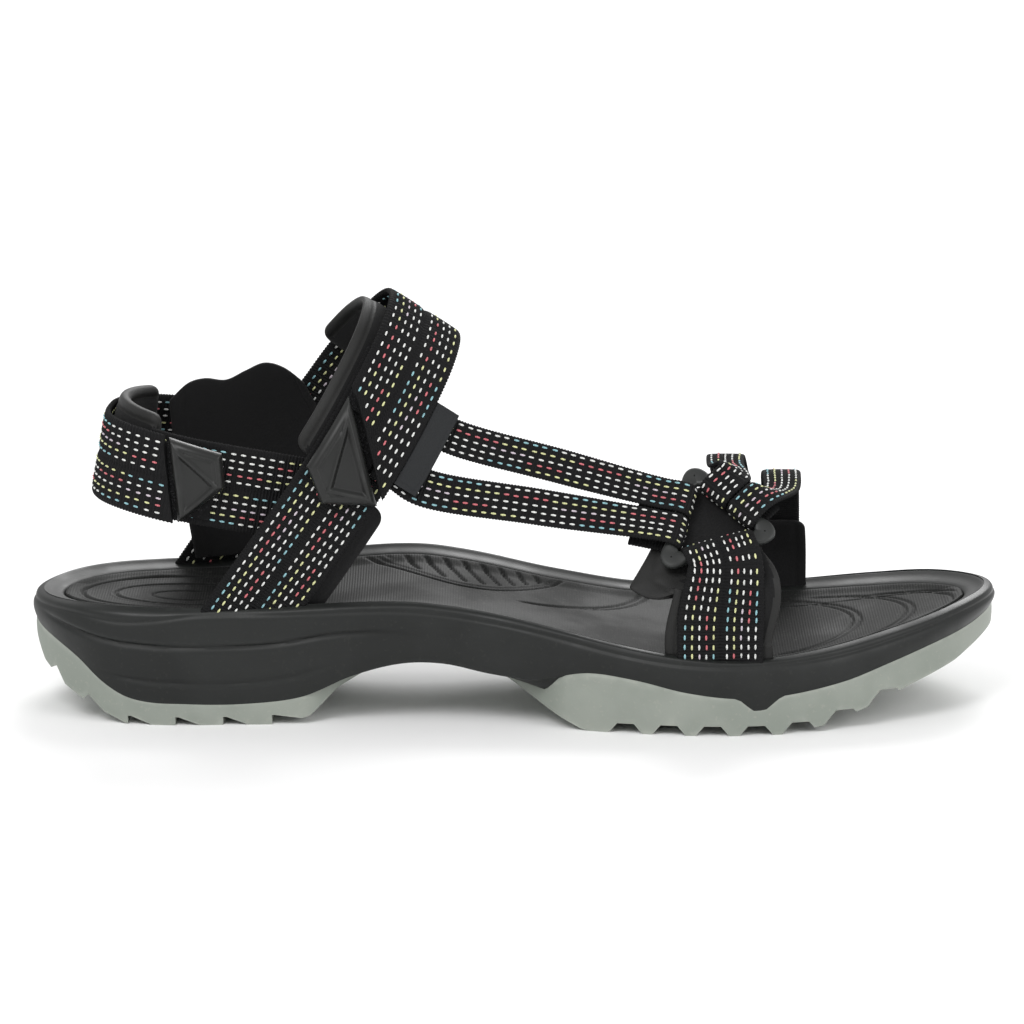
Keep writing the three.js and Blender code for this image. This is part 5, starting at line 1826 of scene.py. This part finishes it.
def footbed_relief(x, y):
    """Height of the footbed's pattern above its smooth surface."""
    relief = np.zeros(np.shape(x))
    for middle, size in HEEL_RINGS:
        line = ellipse_distance(x, y, middle, size)
        relief = relief + groove(line, 0.55, 0.6) + 0.16 * ridge(abs(line) - 1.2, 0.6)
    inner = ellipse_distance(x, y, (43, 0), (9.5, 5.5))
    relief = relief + groove(inner, 0.5, 0.5) * (1 - smooth(44, 50, x))
    inside = y - ARCH_EDGE(x)
    in_arch = smooth(0, 1.2, inside) * smooth(85, 90, x) * (1 - smooth(147, 151, x))
    arch_line = groove(inside, 0.6, 0.7) * smooth(82, 86, x) * (1 - smooth(149, 152, x))
    arch_line = arch_line + groove(inside - 2, 0.5, 0.35) * smooth(86, 92, x) * (1 - smooth(145, 149, x))
    turns = (x + ARCH_RIB_SLANT * y) / ARCH_RIB_PITCH
    ribs = groove((turns - np.rint(turns)) * ARCH_RIB_PITCH, 0.62, 0.8)
    relief = relief + arch_line + ribs * in_arch * smooth(3.6, 4.6, inside) * (1 - smooth(24.5, 26, y))
    for shift in (0.0, DOUBLE_LINE):
        (ball_x, ball_y), size = BALL_ARC
        ball = ellipse_distance(x, y, (ball_x - shift, ball_y), size)
        relief = relief + groove(ball, 0.5, 0.6) * smooth(134, 140, x)
        for middle_x, size in TOE_ARCS:
            arc = ellipse_distance(x, y, (middle_x - shift, 2), size)
            front = smooth(middle_x + 6, middle_x + 14, x)
            relief = relief + groove(arc, 0.5, 0.55) * front
    relief = relief + groove(y - TOE_LINE(x), 0.5, 0.45) * smooth(182, 190, x) * (1 - smooth(252, 258, x))
    return relief


FOOTBED_STATIONS = 600
FOOTBED_ACROSS = 126
FOOTBED_BELOW = 8
FOOTBED_EDGE = 1.6
FOOTBED_LIP = 0.9


def make_footbed():
    """The foam insert: a fine grid on top for its relief, and a coarse one below."""
    total = FOOTBED_ACROSS + FOOTBED_BELOW
    q_lines = np.concatenate((np.linspace(-1, 1, FOOTBED_ACROSS), np.linspace(1, -1, FOOTBED_BELOW)))

    def place(u, v):
        index = np.rint(v * total).astype(int) % total
        q_line = q_lines[index]
        p = mix(2 * u - 1, -np.cos(u * math.pi), 0.55) * (1 - 1e-5)
        q = q_line * np.sqrt(np.maximum(0, 1 - p * p))
        x, y, s = plan(p, q, RIM_WIDTH)
        edge = np.minimum((1 - abs(q_line)) * reach(s, q) * np.sqrt(1 - p * p), (1 - abs(p)) * 130)
        drop = 0.8 * (1 - rounding_off(edge, FOOTBED_EDGE))
        relief = footbed_relief(x, y) * smooth(1.2, 3.2, edge)
        top = footbed_top(p, q, s) + relief - drop + FOOTBED_LIP * (1 - smooth(1.5, 7, edge))
        bottom = footbed_top(p, q, s) - FOOTBED_THICKNESS
        return rows(x, y, np.where(index < FOOTBED_ACROSS, top, bottom))

    mesh = bent_grid("footbed_ribbed", FOOTBED_STATIONS, total, place, spread=(252, 160))
    edit(mesh, weld, close_holes, face_out)
    piece("footbed_ribbed", mesh, FOOTBED, replaces=["footbed"])


def finish_hidden_pieces():
    """The shank and the heel's shock pad keep their CAD shape and get their own finish."""
    for name, material in (("shank", SHANK), ("heel_shock_pad", SHOCK)):
        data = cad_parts[name].data
        data.materials.clear()
        data.materials.append(material)


# ---- Studio --------------------------------------------------------------------------------------

PICTURE_WIDTH = 0.2862
LOOK_AT = Vector((134.15 * MM + HEEL_BACK.x, HEEL_BACK.y, 52.9 * MM))
CAMERA_HEIGHT = math.radians(12)
LENS = 200.0
SENSOR = 36.0
FLOOR_SIZE = 12
WORLD_LIGHT = 0.75
# Name, place, size and power of each lamp; all of them point at the middle of the view.
LAMPS = [
    ("key", (-0.5, -0.9, 1.1), 0.7, 9),
    ("fill", (0.9, -0.7, 0.6), 0.8, 4),
    ("back", (0.26, 1.43, 1.154), 1.04, 15.2),
]


def make_camera():
    data = bpy.data.cameras.new("camera")
    data.lens, data.sensor_width = LENS, SENSOR
    data.clip_start, data.clip_end = 0.05, 50
    camera = bpy.data.objects.new("camera", data)
    bpy.context.scene.collection.objects.link(camera)
    distance = LENS * PICTURE_WIDTH / SENSOR
    away = Vector((0, -math.cos(CAMERA_HEIGHT), math.sin(CAMERA_HEIGHT)))
    camera.location = LOOK_AT + away * distance
    camera.rotation_euler = (-away).to_track_quat("-Z", "Y").to_euler()
    bpy.context.scene.camera = camera


def make_light(name, place, size, power):
    data = bpy.data.lights.new(name, "AREA")
    data.shape, data.size, data.energy = "DISK", size, power
    light = bpy.data.objects.new(name, data)
    light.location = place
    light.rotation_euler = (LOOK_AT - Vector(place)).to_track_quat("-Z", "Y").to_euler()
    bpy.context.scene.collection.objects.link(light)


def make_studio():
    mesh = bpy.data.meshes.new("floor")
    bm = bmesh.new()
    bmesh.ops.create_grid(bm, x_segments=1, y_segments=1, size=FLOOR_SIZE)
    bm.to_mesh(mesh)
    bm.free()
    floor = bpy.data.objects.new("floor", mesh)
    bpy.context.scene.collection.objects.link(floor)
    material, _, shader = new_material("pale_floor", Roughness=0.7)
    shader.inputs["Base Color"].default_value = (0.9, 0.9, 0.9, 1)
    mesh.materials.append(material)
    world = bpy.data.worlds.new("studio")
    world.use_nodes = True
    background = world.node_tree.nodes["Background"]
    background.inputs["Color"].default_value = (1, 1, 1, 1)
    background.inputs["Strength"].default_value = WORLD_LIGHT
    bpy.context.scene.world = world
    for lamp in LAMPS:
        make_light(*lamp)
    bpy.context.scene.view_settings.view_transform = "Standard"


make_camera()
make_outsole()
make_midsole()
make_footbed()
finish_hidden_pieces()
make_wide_straps()
make_bands()
make_pads()
make_collar()
make_tapes()
make_tabs()
make_label()
make_ring()
make_studio()

bpy.context.view_layer.update()
